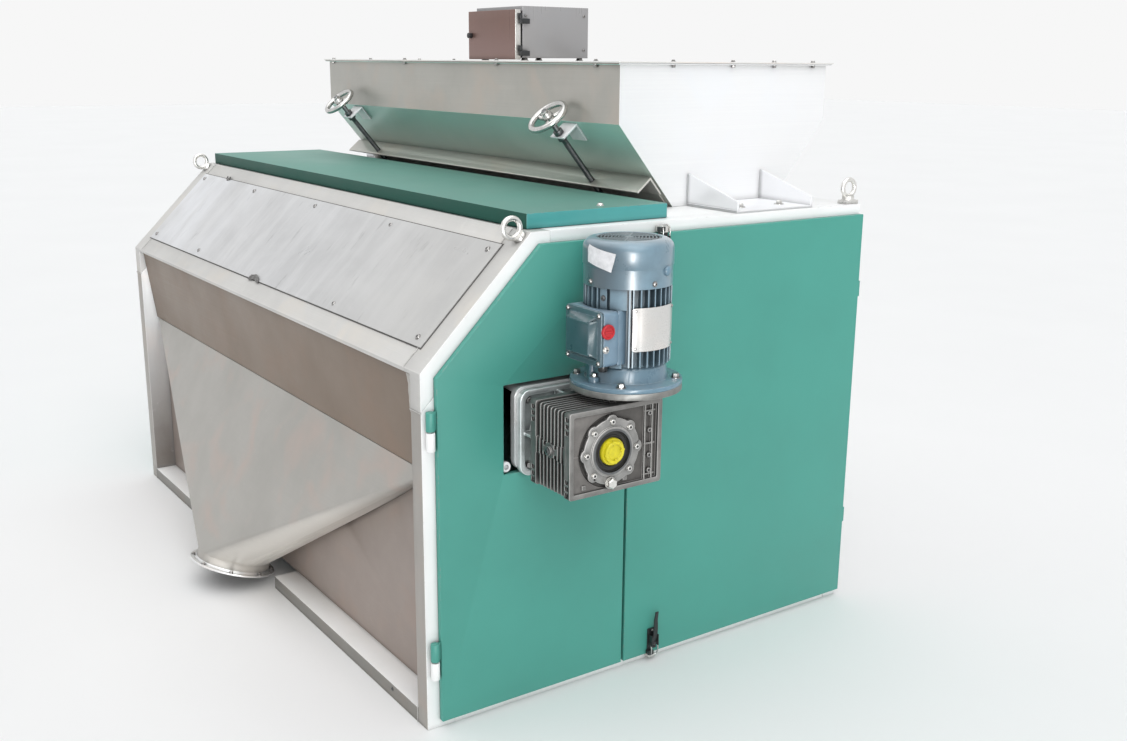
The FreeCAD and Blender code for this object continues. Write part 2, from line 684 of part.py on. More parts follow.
def tray(name, outline, inside):
    body = new_body(name)
    add_slab(body, name + "_outside", "X", [outline], leaf_start, size("door_thickness"))
    cut_slab(body, name + "_inside", "X", [inside], leaf_start, size("door_thickness") - skin)
    return body


leaf_edge = size("door_seam") - half_seam
front_leaf = tray(
    "front_leaf",
    polygon([(door_front, door_low), (leaf_edge, door_low), (leaf_edge, window_low), (window_front, window_low),
             (window_front, window_high), (leaf_edge, window_high), (leaf_edge, door_high),
             (door_high - door_slant, door_high), (door_front, door_front + door_slant)]),
    polygon([(door_front + skin, door_low + skin), (leaf_edge - skin, door_low + skin),
             (leaf_edge - skin, window_low - skin), (window_front - skin, window_low - skin),
             (window_front - skin, window_high + skin), (leaf_edge - skin, window_high + skin),
             (leaf_edge - skin, door_high - skin), (door_high - skin - inner_slant, door_high - skin),
             (door_front + skin, door_front + skin + inner_slant)]))
finish(front_leaf, "side_door_front")

leaf_edge = size("door_seam") + half_seam
rear_leaf = tray("rear_leaf", rectangle(leaf_edge, door_low, door_rear, door_high),
                 rectangle(leaf_edge + skin, door_low + skin, door_rear - skin, door_high - skin))
finish(rear_leaf, "side_door_rear")

left_panel = tray(
    "left_panel",
    polygon([(door_front, door_low), (door_rear, door_low), (door_rear, door_high),
             (door_high - door_slant, door_high), (door_front, door_front + door_slant)]),
    polygon([(door_front + skin, door_low + skin), (door_rear - skin, door_low + skin),
             (door_rear - skin, door_high - skin), (door_high - skin - inner_slant, door_high - skin),
             (door_front + skin, door_front + skin + inner_slant)]))
finish(group("left_panel_group", [mirrored("left_panel_mirror", left_panel)]), "left_side_panel")

# Lift-off hinges: the lower knuckle stays on the frame and the upper one lifts with the door.
hinge_x = side + size("hinge_out")
knuckle = size("knuckle_radius")
knuckle_long = size("knuckle_length")
half_gap = size("knuckle_gap") / 2
pin = size("hinge_pin")
pin_reach = size("pin_reach")
strap = size("hinge_strap")


def lower_knuckle(name, axis_x, axis_y, middle, strap_from, strap_to):
    """The frame's half of a hinge: barrel, pin and a strap between two corners in plan."""
    base = middle - half_gap - knuckle_long
    barrel = rod(name + "_barrel", "Z", (axis_x, axis_y, base), knuckle, knuckle_long)
    spindle = rod(name + "_spindle", "Z", (axis_x, axis_y, base), pin, knuckle_long + half_gap * 2 + pin_reach)
    leaf = block(name + "_strap", (*strap_from, base), (*strap_to, base + knuckle_long))
    return fused(name, [barrel, spindle, leaf])


def upper_knuckle(name, axis_x, axis_y, middle, straps):
    """The door's half of a hinge: bored barrel and straps between corners in plan."""
    base = middle + half_gap
    solids = [rod(name + "_barrel", "Z", (axis_x, axis_y, base), knuckle, knuckle_long)]
    for index, (strap_from, strap_to) in enumerate(straps):
        solids.append(block(f"{name}_strap_{index}", (*strap_from, base), (*strap_to, base + knuckle_long)))
    bore = rod(name + "_bore", "Z", (axis_x, axis_y, base), pin + size("hinge_running"), pin_reach + half_gap)
    return cut(name, fused(name + "_solid", solids), bore)


front_axis = door_front - size("hinge_gap")
rear_axis_x = side - size("rear_hinge_in")
rear_axis_y = depth + size("rear_hinge_behind")
front_heights = (slope_start - size("front_hinge_drop"), size("front_hinge_low"))
rear_heights = (top - size("rear_hinge_drop"), size("rear_hinge_low"))
front_straps = [((hinge_x - strap, front_axis), (hinge_x, door_front))]
rear_strap_low = depth + size("rear_strap_gap")
rear_strap_out = side + size("rear_strap_reach")
rear_straps = [((rear_axis_x, rear_strap_low), (rear_strap_out, rear_strap_low + strap)),
               ((rear_strap_out - strap * 2, door_rear), (rear_strap_out, rear_strap_low + strap))]
lower = [lower_knuckle(f"front_low_{i}", hinge_x, front_axis, z, (side, front_axis),
                       (side + strap, front_axis + knuckle)) for i, z in enumerate(front_heights)]
lower += [lower_knuckle(f"rear_low_{i}", rear_axis_x, rear_axis_y, z, (rear_axis_x - strap, depth),
                        (rear_axis_x + strap, rear_axis_y)) for i, z in enumerate(rear_heights)]
finish(group("lower_knuckles", lower), "hinge_frame_halves")
upper = [upper_knuckle(f"front_high_{i}", hinge_x, front_axis, z, front_straps) for i, z in enumerate(front_heights)]
finish(group("front_upper_knuckles", upper), "front_hinge_door_halves")
upper = [upper_knuckle(f"rear_high_{i}", rear_axis_x, rear_axis_y, z, rear_straps) for i, z in enumerate(rear_heights)]
finish(group("rear_upper_knuckles", upper), "rear_hinge_door_halves")

# Toggle latches of the rear leaf, one at its lower and one at its upper edge.
latch_y = size("door_seam") + size("latch_place")
latch_half = size("latch_width") / 2
latch_out = door_face + size("latch_depth")
lever = size("latch_lever")
roller = size("latch_roller")


def latch(name, edge, way):
    """A latch body with its lever inside the door and a hook roller over the door's edge."""
    inner = edge + way * size("latch_height")
    tip = inner + way * lever
    low, high = (edge, inner) if way > 0 else (inner, edge)
    body = block(name + "_body", (door_face, latch_y - latch_half, low), (latch_out, latch_y + latch_half, high))
    outline = polygon([(latch_y, inner - way * roller), (latch_y + latch_half, inner - way * roller),
                       (latch_y + latch_half, tip), (latch_y + latch_half / 2, tip)])
    arm = slab(name + "_lever", "X", outline, door_face + strap, strap)
    hook = rod(name + "_hook", "X", (door_face, latch_y - latch_half, edge), roller, size("latch_depth"))
    return fused(name, [body, arm, hook])


finish(group("latches", [latch("low_latch", door_low + roller, 1), latch("high_latch", door_high + roller, -1)]),
       "door_latches")

rear_lap = post_inner + size("rear_sheet_lap")
rear_panel = block("rear_panel_block", (-rear_lap, depth, door_low),
                   (rear_lap, depth + size("rear_sheet"), top - size("rear_sheet_gap")))
finish(rear_panel, "rear_panel")

# Recessed front: a strip that leans in and the chute under it.
gauge = size("front_sheet")
fold_y, fold_z = size("fold_depth"), slope_start - size("fold_drop")
strip_y, strip_z = size("strip_inset"), slope_start - size("strip_drop")
strip = slab("strip", "X",
             polygon([(strip_y, strip_z), (fold_y, fold_z), (fold_y + gauge, fold_z), (strip_y + gauge, strip_z)]),
             -post_inner, post_inner * 2)
finish(strip, "front_upper_strip")

chute_half = (post_inner - size("chute_side_gap")).value
mouth_near = number("fold_depth")
mouth_far = mouth_near + number("chute_top_depth")
mouth_height = fold_z.value - number("fold_gap")
outlet_axis = Vector(0, -math.sin(outlet_turn), -math.cos(outlet_turn))
outlet_centre = Vector(0, -number("outlet_reach"), number("outlet_height"))
outlet_side = Vector(1, 0, 0)
outlet_out = outlet_side.cross(outlet_axis)
neck = number("neck_length")


def chute_mouth(grow):
    """The upper rim of the chute: four straight edges and four corner arcs."""
    half, near, far = chute_half + grow, mouth_near - grow, mouth_far + grow
    corner = number("chute_corner") + grow
    centres = [(half - corner, far - corner), (-half + corner, far - corner),
               (-half + corner, near + corner), (half - corner, near + corner)]
    edges = []
    last = Vector(half, near + corner, mouth_height)
    for index, (across, along) in enumerate(centres):
        angles = [math.radians(90 * index + step) for step in (0, 45, 90)]
        arc = [Vector(across + corner * math.cos(a), along + corner * math.sin(a), mouth_height) for a in angles]
        edges.append(Part.LineSegment(last, arc[0]).toShape())
        edges.append(Part.Arc(*arc).toShape())
        last = arc[2]
    return Part.Wire(edges)


def outlet_point(radius, degrees, along=0.0):
    """A point round the outlet's axis, so many degrees from the machine's right-hand side."""
    angle = math.radians(degrees)
    across = outlet_side * math.cos(angle) - outlet_out * math.sin(angle)
    return outlet_centre + across * radius + outlet_axis * along


def chute_throat(radius, short=5):
    """The round lower end of the chute, split like its mouth into four short and four long edges."""
    edges = []
    for middle in (0, 90, 180, 270):
        for begin, end in ((middle - short, middle + short), (middle + short, middle + 90 - short)):
            edges.append(Part.Arc(*[outlet_point(radius, a) for a in (begin, (begin + end) / 2, end)]).toShape())
    return Part.Wire(edges)


def chute_body(grow):
    """The solid between the wide mouth and the round throat, grown by an offset."""
    return Part.makeLoft([chute_mouth(grow), chute_throat(number("outlet_radius") + grow)], True, True)


def outlet_drum(radius, start, length):
    return Part.makeCylinder(radius, length, outlet_centre + outlet_axis * start, outlet_axis)


wall = number("front_sheet")
chute = doc.addObject("Part::Feature", "chute")
chute_outside = chute_body(0).fuse(outlet_drum(number("outlet_radius"), 0, neck))
chute_inside = chute_body(-wall).fuse(outlet_drum(number("outlet_radius") - wall, 0, neck))
chute.Shape = chute_outside.cut(chute_inside).removeSplitter()
finish(chute, "discharge_chute")

flange = doc.addObject("Part::Feature", "flange")
flange_thick = number("flange_thickness")
flange_start = neck - flange_thick
flange_disc = outlet_drum(number("flange_radius"), flange_start, flange_thick)
flange_disc = flange_disc.cut(outlet_drum(number("outlet_radius") + number("flange_fit"), 0, neck * 2))
for index in range(8):
    start = outlet_point(number("flange_bolt_circle"), 22.5 + 45 * index, 0)
    hole = Part.makeCylinder(number("flange_hole"), neck * 2, start, outlet_axis)
    flange_disc = flange_disc.cut(hole)
flange.Shape = flange_disc
finish(flange, "outlet_flange")

lower_sheet = block("lower_sheet", (-post_inner, front_depth - gauge, rail),
                    (post_inner, front_depth, fold_z - size("fold_gap") * 4))
chute_room = doc.addObject("Part::Feature", "chute_room")
chute_room.Shape = chute_body(number("chute_gap"))
finish(cut("lower_sheet_cut", lower_sheet, chute_room), "front_lower_panel")

# Stainless access panel on the slope.
SLOPE = (as_size(0), slope_start)
SLOPE_TURN = Size(45, "45 deg")
panel_half = side - size("panel_side_gap")
panel_rest = size("panel_rest")
slope_panel = block("slope_panel_block", (-panel_half, size("panel_low"), panel_rest),
                    (panel_half, slope_length - size("panel_top_gap"), panel_rest + size("panel_thickness")))
finish_tilted(group("slope_panel_group", [slope_panel]), "slope_panel", SLOPE, SLOPE_TURN)

# Plate that carries the drive, with the block behind the output flange.
edge_gap = size("drive_plate_edge")
plate_x = post_inner - size("drive_plate_inset")
plate_out = plate_x + size("drive_plate")
plate_front = fold_y + size("chute_top_depth") + size("drive_plate_room")
flange_face = door_face + size("output_flange_gap")
plate_high = top - size("top_plate_sheet") - edge_gap
drive_plate = slab("drive_plate_slab", "X",
                   polygon([(plate_front, rail + edge_gap), (depth - edge_gap, rail + edge_gap),
                            (depth - edge_gap, plate_high), (plate_high - slope_low, plate_high),
                            (plate_front, slope_low + plate_front)]),
                   plate_x, size("drive_plate"))
carrier = slab("carrier", "X",
               rounded(output_y - size("carrier_front"), output_z - size("carrier_below"),
                       output_y + size("carrier_front"), output_z + size("carrier_above"),
                       size("output_flange_corner")),
               plate_x, flange_face - plate_x)
finish(fused("drive_plate_solid", [drive_plate, carrier]), "drive_side_plate")

# Output flange: a square plate with a recess, a hub and the hub's ribs.
gear_half = size("gear_half")
gear_x0 = motor_x - gear_half
gear_x1 = motor_x + gear_half
flange_half = size("output_flange_half")
flange_corner = size("output_flange_corner")
flange_border = size("output_flange_border")
flange_plate = size("output_flange_plate")
flange_recess = size("output_flange_recess")
output_flange = new_body("output_flange")
add_slab(output_flange, "flange_square", "X", [rounded(-flange_half, -flange_half, flange_half, flange_half,
                                                       flange_corner)], 0, flange_plate)
recess_half = flange_half - flange_border
cut_slab(output_flange, "flange_recess", "X",
         [rounded(-recess_half, -recess_half, recess_half, recess_half, flange_corner - flange_border / 2)],
         flange_plate - flange_recess, flange_recess)
hub_start = flange_plate - flange_recess
hub_length = gear_x0 - flange_face - hub_start
add_slab(output_flange, "flange_hub", "X", [circle(0, 0, size("hub_radius"))], hub_start, hub_length)
hub_rib = size("hub_rib") / 2
rib_outline = rectangle(size("hub_radius") * 0.9, -hub_rib, size("hub_rib_reach"), hub_rib)
rib_pad = add_slab(output_flange, "hub_rib", "X", [rib_outline], hub_start, flange_recess + hub_length / 2)
repeat(output_flange, "hub_ribs", "PartDesign::PolarPattern", rib_pad, size("hub_rib_count"))
finish(output_flange, "gearbox_output_flange", (flange_face, output_y, output_z))

# Worm gearbox: core, two rims, ribs wrapped round the core between them, and the input flange.
gear_rear = motor_y + size("gear_behind")
gear_low = output_z - size("gear_below")
gear_high = output_z + size("gear_above")
rim = size("gear_rim")
corner = size("gear_corner")
core_in = size("gear_core")
border = size("gear_border")
housing = new_body("housing")
add_slab(housing, "gear_core", "X",
         [rounded(gear_front + core_in, gear_low + core_in, gear_rear - core_in, gear_high - core_in, corner / 2)],
         gear_x0, gear_half * 2)
rim_outline = rounded(gear_front, gear_low, gear_rear, gear_high, corner)
add_slab(housing, "inner_rim", "X", [rim_outline], gear_x0, rim)
add_slab(housing, "outer_rim", "X", [rim_outline], gear_x1 - rim, rim)
cut_slab(housing, "front_recess", "X",
         [rounded(gear_front + border, gear_low + border, gear_rear - border, gear_high - border, corner / 2)],
         gear_x1 - size("gear_recess"), size("gear_recess"))
pad_half = size("oil_pad_half")
pad_waist = size("oil_pad_waist")
oil_pad = polygon([(gear_x0 + rim, output_z - pad_half), (motor_x, output_z - pad_waist),
                   (gear_x1 - rim, output_z - pad_half), (gear_x1 - rim, output_z + pad_half),
                   (motor_x, output_z + pad_waist), (gear_x0 + rim, output_z + pad_half)])
add_slab(housing, "oil_pad", "Y", [oil_pad], gear_front, core_in * 2)
add_slab(housing, "oil_plug", "Y", [circle(motor_x, output_z, size("oil_plug_radius"))],
         gear_front - size("oil_plug_height"), size("oil_plug_height") + core_in)
input_neck = size("input_neck")
add_slab(housing, "input_neck", "Z", [circle(motor_x, motor_y, size("input_neck_radius"))],
         gear_high - core_in, input_neck + core_in)
add_slab(housing, "input_disc", "Z", [circle(motor_x, motor_y, size("motor_flange_radius"))],
         gear_high + input_neck, size("input_disc"))
worm_rib = size("gear_rib") / 2
worm_start = output_y + size("cover_radius") + size("worm_rib_pitch")
for index in range(3):
    place = worm_start + size("worm_rib_pitch") * index
    add_slab(housing, f"worm_rib_{index}", "Y", [rectangle(gear_x1 - size("gear_recess") * 2, gear_low + core_in,
                                                          gear_x1 - worm_rib, gear_high - core_in)],
             place - worm_rib, size("gear_rib"))
rib_in = size("gear_rib_inset")
rib_count = size("gear_rib_count")
rib_pitch = (gear_half * 2 - rim * 2) / (rib_count + 1)
gear_rib = add_slab(housing, "gear_rib", "X",
                    [rounded(gear_front + rib_in, gear_low + rib_in, gear_rear - rib_in, gear_high - rib_in, corner)],
                    gear_x0 + rim + rib_pitch - worm_rib, size("gear_rib"))
gear_ribs = repeat(housing, "gear_ribs", "PartDesign::LinearPattern", gear_rib, rib_count)
bind(gear_ribs, "Length", rib_pitch * (rib_count - 1))
finish(housing, "gearbox_housing")

# Bearing cover with lobes and bolt holes, the seal in it and the cap over the shaft's bore.
cover_start = gear_x1 - size("gear_recess")
cover_height = size("cover_height")
lobe_circle = size("lobe_circle")
cover = new_body("cover")
add_slab(cover, "cover_disc", "X", [circle(0, 0, size("cover_radius"))], 0, cover_height)
add_slab(cover, "bearing_ring", "X", [circle(0, 0, size("bearing_ring"))], cover_height, size("bearing_ring_height"))
cut_slab(cover, "cover_bore", "X", [circle(0, 0, size("seal_radius") + size("press_gap"))],
         0, cover_height + size("bearing_ring_height"))
lobe = add_slab(cover, "lobe", "X", [circle(lobe_circle, 0, size("lobe_radius"))], 0, cover_height)
repeat(cover, "lobes", "PartDesign::PolarPattern", lobe, size("lobe_count"))
hole = cut_slab(cover, "cover_hole", "X", [circle(lobe_circle, 0, size("cover_hole"))],
                cover_height - size("cover_hole_depth"), size("cover_hole_depth"))
repeat(cover, "cover_holes", "PartDesign::PolarPattern", hole, size("lobe_count"))
finish(cover, "gearbox_cover", (cover_start, output_y, output_z))

seal = new_body("seal")
add_slab(seal, "seal_ring", "X", [circle(0, 0, size("seal_radius")),
                                  circle(0, 0, size("cap_radius") + size("press_gap"))], 0, cover_height)
finish(seal, "gearbox_seal", (cover_start, output_y, output_z))
cap = new_body("cap")
add_slab(cap, "cap_skirt", "X", [circle(0, 0, size("cap_radius"))], 0, size("cap_height"))
add_slab(cap, "cap_crown", "X", [circle(0, 0, size("cap_crown"))], size("cap_height"), size("crown_height"))
finish(cap, "bearing_cap", (cover_start, output_y, output_z))

# Motor, standing on the gearbox's input flange.
shield_low = gear_high + input_neck + size("input_disc")
flange_thick = size("motor_flange_thickness")
shield_high = flange_thick + size("shield_height")
shield = new_body("shield")
add_turned(shield, "shield_turned",
           polygon([(0, 0), (size("motor_flange_radius"), 0), (size("motor_flange_radius"), flange_thick),
                    (size("shield_step"), flange_thick + 2), (size("shield_top") + 4, shield_high - 4),
                    (size("shield_top"), shield_high), (0, shield_high)]))
finish(shield, "motor_end_shield", (motor_x, motor_y, shield_low))

body_low = shield_low + shield_high
motor = new_body("motor")
add_slab(motor, "motor_core", "Z", [circle(0, 0, size("motor_radius"))], 0, size("fin_length"))
fin_half = size("fin_thickness") / 2
fin = add_slab(motor, "motor_fin", "Z",
               [rectangle(size("motor_radius") * 0.97, -fin_half, size("fin_radius"), fin_half)], 0, size("fin_length"))
repeat(motor, "motor_fins", "PartDesign::PolarPattern", fin, size("fin_count"))
finish(motor, "motor_body", (motor_x, motor_y, body_low))

cowl_low = body_low + size("fin_length")
cowl_long = size("cowl_length")
cowl_band = size("cowl_band")
cowl_step = size("cowl_radius") - size("cowl_step")
grille = size("grille_radius")
grille_floor = cowl_long - size("grille_depth")
cowl = new_body("cowl")
add_turned(cowl, "cowl_turned",
           polygon([(0, 0), (size("cowl_step"), 0), (size("cowl_step"), cowl_band),
                    (size("cowl_radius"), cowl_band + cowl_step),
                    (size("cowl_radius"), cowl_long - size("cowl_shoulder")),
                    (size("cowl_rim") + 4, cowl_long - 2), (size("cowl_rim"), cowl_long), (grille, cowl_long),
                    (grille - 1, grille_floor), (0, grille_floor)]))
finish(cowl, "fan_cowl", (motor_x, motor_y, cowl_low))

# Terminal box, fitted round the fins, with its domed lid and the plug in its side.
terminal_half = size("terminal_half")
terminal_low = body_low + size("terminal_rise")
terminal_high = terminal_low + size("terminal_height")
terminal_seam = motor_y - size("terminal_face")
terminal_corner = size("terminal_corner")
terminal_outline = rounded(motor_x - terminal_half, terminal_low, motor_x + terminal_half, terminal_high,
                           terminal_corner)
terminal = slab("terminal", "Y", terminal_outline, terminal_seam, motor_y - terminal_seam)
fin_room = rod("fin_room", "Z", (motor_x, motor_y, terminal_low - 1), size("fin_radius") + size("press_gap"),
               size("terminal_height") + 2)
finish(cut("terminal_cut", terminal, fin_room), "terminal_box")

terminal_lid = new_body("terminal_lid")
lid_flange = size("lid_flange")
dome = size("dome_inset")
flange_start = terminal_seam - size("terminal_seam") - lid_flange
add_slab(terminal_lid, "lid_flange", "Y", [terminal_outline], flange_start, lid_flange)
dome_pad = add_slab(terminal_lid, "lid_dome", "Y",
                    [rounded(motor_x - terminal_half + dome, terminal_low + dome, motor_x + terminal_half - dome,
                             terminal_high - dome, terminal_corner)],
                    flange_start - size("lid_dome"), size("lid_dome"))
dome_pad.Profile[0].setExpression("AttachmentOffset.Base.z", (-flange_start).formula)
bind(dome_pad, "TaperAngle", -size("dome_taper"))
finish(terminal_lid, "terminal_box_lid")
finish(rod("plug", "X", (motor_x + terminal_half, motor_y - size("plug_back"), terminal_low + size("plug_rise")),
           size("plug_radius"), size("plug_height")), "terminal_plug")

# Hopper with its rim; the leaning front wall has the gate's slot.
hopper_sheet = size("hopper_sheet")
knee = top + size("knee_height")
hopper_top = top + size("hopper_height")
hopper_front = hopper_floor_front - size("hopper_front_lean")
hopper_floor_rear = hopper_rear - size("hopper_rear_lean")
hopper_low = top + size("hopper_seat")
rim_out = size("hopper_rim")
front_lean = size("hopper_front_lean")
GATE = (hopper_floor_front, top)
gate_angle = math.degrees(math.atan2(number("knee_height"), front_lean.value))
GATE_TURN = Size(180 - gate_angle, f"180 deg - atan(Sizes.knee_height / {front_lean.formula})")
gate_cosine = Size(math.cos(math.radians(GATE_TURN.value)), f"cos({GATE_TURN.formula})")
gate_sine = Size(math.sin(math.radians(GATE_TURN.value)), f"sin({GATE_TURN.formula})")
hopper = new_body("hopper")
add_slab(hopper, "hopper_outside", "X",
         [polygon([(hopper_floor_front, hopper_low), (hopper_floor_rear, hopper_low), (hopper_rear, knee),
                   (hopper_rear, hopper_top), (hopper_front, hopper_top), (hopper_front, knee)])],
         -hopper_half, hopper_half * 2)
add_slab(hopper, "hopper_rim", "Z",
         [rectangle(-hopper_half - rim_out, hopper_front - rim_out, hopper_half + rim_out, hopper_rear + rim_out)],
         hopper_top - hopper_sheet, hopper_sheet)
slant_wall = hopper_sheet / 2
cut_slab(hopper, "hopper_inside", "X",
         [polygon([(hopper_floor_front + slant_wall, hopper_low + hopper_sheet),
                   (hopper_floor_rear - slant_wall, hopper_low + hopper_sheet),
                   (hopper_rear - hopper_sheet, knee + slant_wall), (hopper_rear - hopper_sheet, hopper_top),
                   (hopper_front + hopper_sheet, hopper_top), (hopper_front + hopper_sheet, knee + slant_wall)])],
         -hopper_half + hopper_sheet, hopper_half * 2 - hopper_sheet * 2)
slot_half = hopper_half - size("slot_side_gap")
slot_deep = hopper_sheet * 4
slot = doc.addObject("Part::Box", "slot")
bind(slot, "Length", slot_half * 2)
bind(slot, "Width", size("slot_height"))
bind(slot, "Height", slot_deep * 2)
set_out(slot, Rotation(Vector(1, 0, 0), GATE_TURN.value),
        (-slot_half, hopper_floor_front + size("slot_low") * gate_cosine + slot_deep * gate_sine,
         top + size("slot_low") * gate_sine - slot_deep * gate_cosine))
slot.setExpression("Placement.Rotation.Angle", GATE_TURN.formula)
finish(cut("hopper_cut", hopper, slot), "hopper_body")

overhang = size("cover_overhang")
cover_low = hopper_top + size("hopper_seat")
cover_top = cover_low + size("cover_thickness")
box_front = hopper_front + size("box_setback")
box_rear = box_front + size("box_depth")
inlet_half = hopper_half - size("inlet_side_gap")
hopper_cover = new_body("hopper_cover")
add_slab(hopper_cover, "cover_plate", "Z",
         [rectangle(-hopper_half - overhang, hopper_front - overhang, hopper_half + overhang, hopper_rear + overhang)],
         cover_low, size("cover_thickness"))
cut_slab(hopper_cover, "inlet", "Z",
         [rectangle(-inlet_half, box_rear + size("inlet_box_gap"), inlet_half, hopper_rear - size("inlet_rear_gap"))],
         cover_low, size("cover_thickness"))
finish(hopper_cover, "hopper_cover")

# Feet beside the hopper: a base plate between two upright gussets.
foot_sheet = size("foot_sheet")
foot_end = (hopper_floor_rear - hopper_floor_front) * size("foot_end_share")
foot_front = hopper_floor_front + foot_end
foot_rear = hopper_floor_rear - foot_end
foot_in = hopper_half + size("seat_gap")
foot_out = side - size("foot_side_gap")
foot_parts = [block("foot_plate", (foot_in, foot_front, top), (foot_out, foot_rear, top + foot_sheet))]
gusset_outline = polygon([(foot_in, top), (foot_out, top), (foot_out, top + foot_sheet + size("gusset_toe")),
                          (foot_in, top + foot_sheet + size("gusset_height"))])
for index, place in enumerate((foot_front, foot_rear - foot_sheet)):
    foot_parts.append(slab(f"gusset_{index}", "Y", gusset_outline, place, foot_sheet))
finish(pair("foot_pair", fused("foot", foot_parts)), "hopper_feet")

# Slide gate and its angle iron, drawn in the plane of the hopper's leaning front wall.
gate_half = hopper_half - size("gate_side_gap")
gate_low = size("gate_low")
gate_high = gate_low + size("gate_height")
gate_out = size("gate_gap") + size("gate_sheet")
gate_plate = block("gate_plate_block", (-gate_half, gate_low, size("gate_gap")), (gate_half, gate_high, gate_out))
finish_tilted(group("gate_plate_group", [gate_plate]), "gate_plate", GATE, GATE_TURN)

angle_high = gate_high + size("angle_lap")
angle_leg = size("angle_leg")
angle_sheet = size("angle_sheet")
screw_x = hopper_half - size("screw_inset")
screw_out = size("screw_out")
screw_radius = size("screw_radius")


def angle_iron(name, low_x, high_x, apex, low, leg):
    """An angle iron with one leg on the slope and one standing out, both ending at the apex."""
    outline = polygon([(apex - leg, low), (apex, low), (apex, low + leg), (apex - angle_sheet, low + leg),
                       (apex - angle_sheet, low + angle_sheet), (apex - leg, low + angle_sheet)])
    return slab(name, "X", outline, low_x, high_x - low_x)


iron = angle_iron("iron", -hopper_half, hopper_half, angle_high, gate_out, angle_leg)
iron_hole = rod("iron_hole", "Y", (screw_x, angle_high - angle_sheet * 2, screw_out),
                screw_radius + size("screw_free"), angle_sheet * 4)
finish_tilted(cut("iron_cut", iron, pair("iron_holes", iron_hole)), "gate_angle", GATE, GATE_TURN)

bracket_high = size("bracket_high")
bracket_half = size("bracket_width") / 2
bracket_solid = angle_iron("bracket_solid", screw_x - bracket_half, screw_x + bracket_half, bracket_high,
                           size("bracket_seat"), size("bracket_leg"))
bracket_hole = rod("bracket_hole", "Y", (screw_x, bracket_high - angle_sheet * 2, screw_out),
                   screw_radius + size("screw_running"), angle_sheet * 4)
finish_tilted(pair("bracket_pair", cut("bracket", bracket_solid, bracket_hole)), "gate_screw_brackets",
              GATE, GATE_TURN)

# Screws with their collars on both sides of the bracket, and the handwheels on them.
screw_low = size("screw_low")
wheel_centre = size("wheel_centre")
hub_half = size("wheel_hub_length") / 2
screw_long = wheel_centre + hub_half + size("screw_end") - screw_low
nut_height = size("nut_height")
nut_gap = size("nut_gap")
rim_radius = size("wheel_radius") - size("wheel_wire")
for name, sign in (("left", -1), ("right", 1)):
    across = screw_x * sign
    stem = rod(f"stem_{name}", "Y", (across, screw_low, screw_out), screw_radius, screw_long)
    nuts = [rod(f"nut_{name}_{index}", "Y", (across, low, screw_out), size("nut_radius"), nut_height)
            for index, low in enumerate((bracket_high + nut_gap, bracket_high - angle_sheet - nut_gap - nut_height))]
    finish_tilted(fused(f"screw_{name}", [stem] + nuts), f"gate_screw_{name}", GATE, GATE_TURN)
    rim_ring = ring(f"rim_{name}", "Y", (across, wheel_centre, screw_out), rim_radius, size("wheel_wire"))
    hub = rod(f"hub_{name}", "Y", (across, wheel_centre - hub_half, screw_out), size("wheel_hub"), hub_half * 2)
    spokes = []
    for index in range(3):
        spoke = doc.addObject("Part::Cylinder", f"spoke_{name}_{index}")
        bind(spoke, "Radius", size("wheel_spoke"))
        bind(spoke, "Height", rim_radius)
        spokes.append(set_out(spoke, Rotation(Vector(0, 1, 0), 120 * index + 30), (across, wheel_centre, screw_out)))
    wheel_bore = rod(f"wheel_bore_{name}", "Y", (across, wheel_centre - hub_half * 2, screw_out),
                     screw_radius + size("press_gap"), hub_half * 4)
    wheel = cut(f"wheel_{name}", fused(f"wheel_solid_{name}", [rim_ring, hub] + spokes), wheel_bore)
    finish_tilted(group(f"wheel_group_{name}", [wheel]), f"handwheel_{name}", GATE, GATE_TURN)

# Control box on the hopper's cover, standing on four feet.
box_left = size("box_left")
box_right = box_left + size("box_width")
box_low = cover_top + size("box_foot")
box_high = box_low + size("box_height")
inset = size("box_foot_inset")
box_parts = [block("box_block", (box_left, box_front, box_low), (box_right, box_rear, box_high))]
for index, (across, along) in enumerate(((box_left + inset, box_front + inset), (box_right - inset, box_front + inset),
                                         (box_left + inset, box_rear - inset), (box_right - inset, box_rear - inset))):
    box_parts.append(rod(f"box_foot_{index}", "Z", (across, along, cover_top), size("box_foot_radius"),
                         size("box_foot") * 2))
finish(fused("box_solid", box_parts), "control_box")

door_back = box_front - size("box_door_gap")
door_face_y = door_back - size("box_door_depth")
door_left = box_left - size("box_door_left")
box_door_low = box_low - size("box_door_below")
box_door_high = box_high - size("box_door_drop")
finish(slab("box_door", "Z", rounded(door_left, door_face_y, box_right, door_back, size("box_door_corner")),
            box_door_low, box_door_high - box_door_low), "control_box_door")

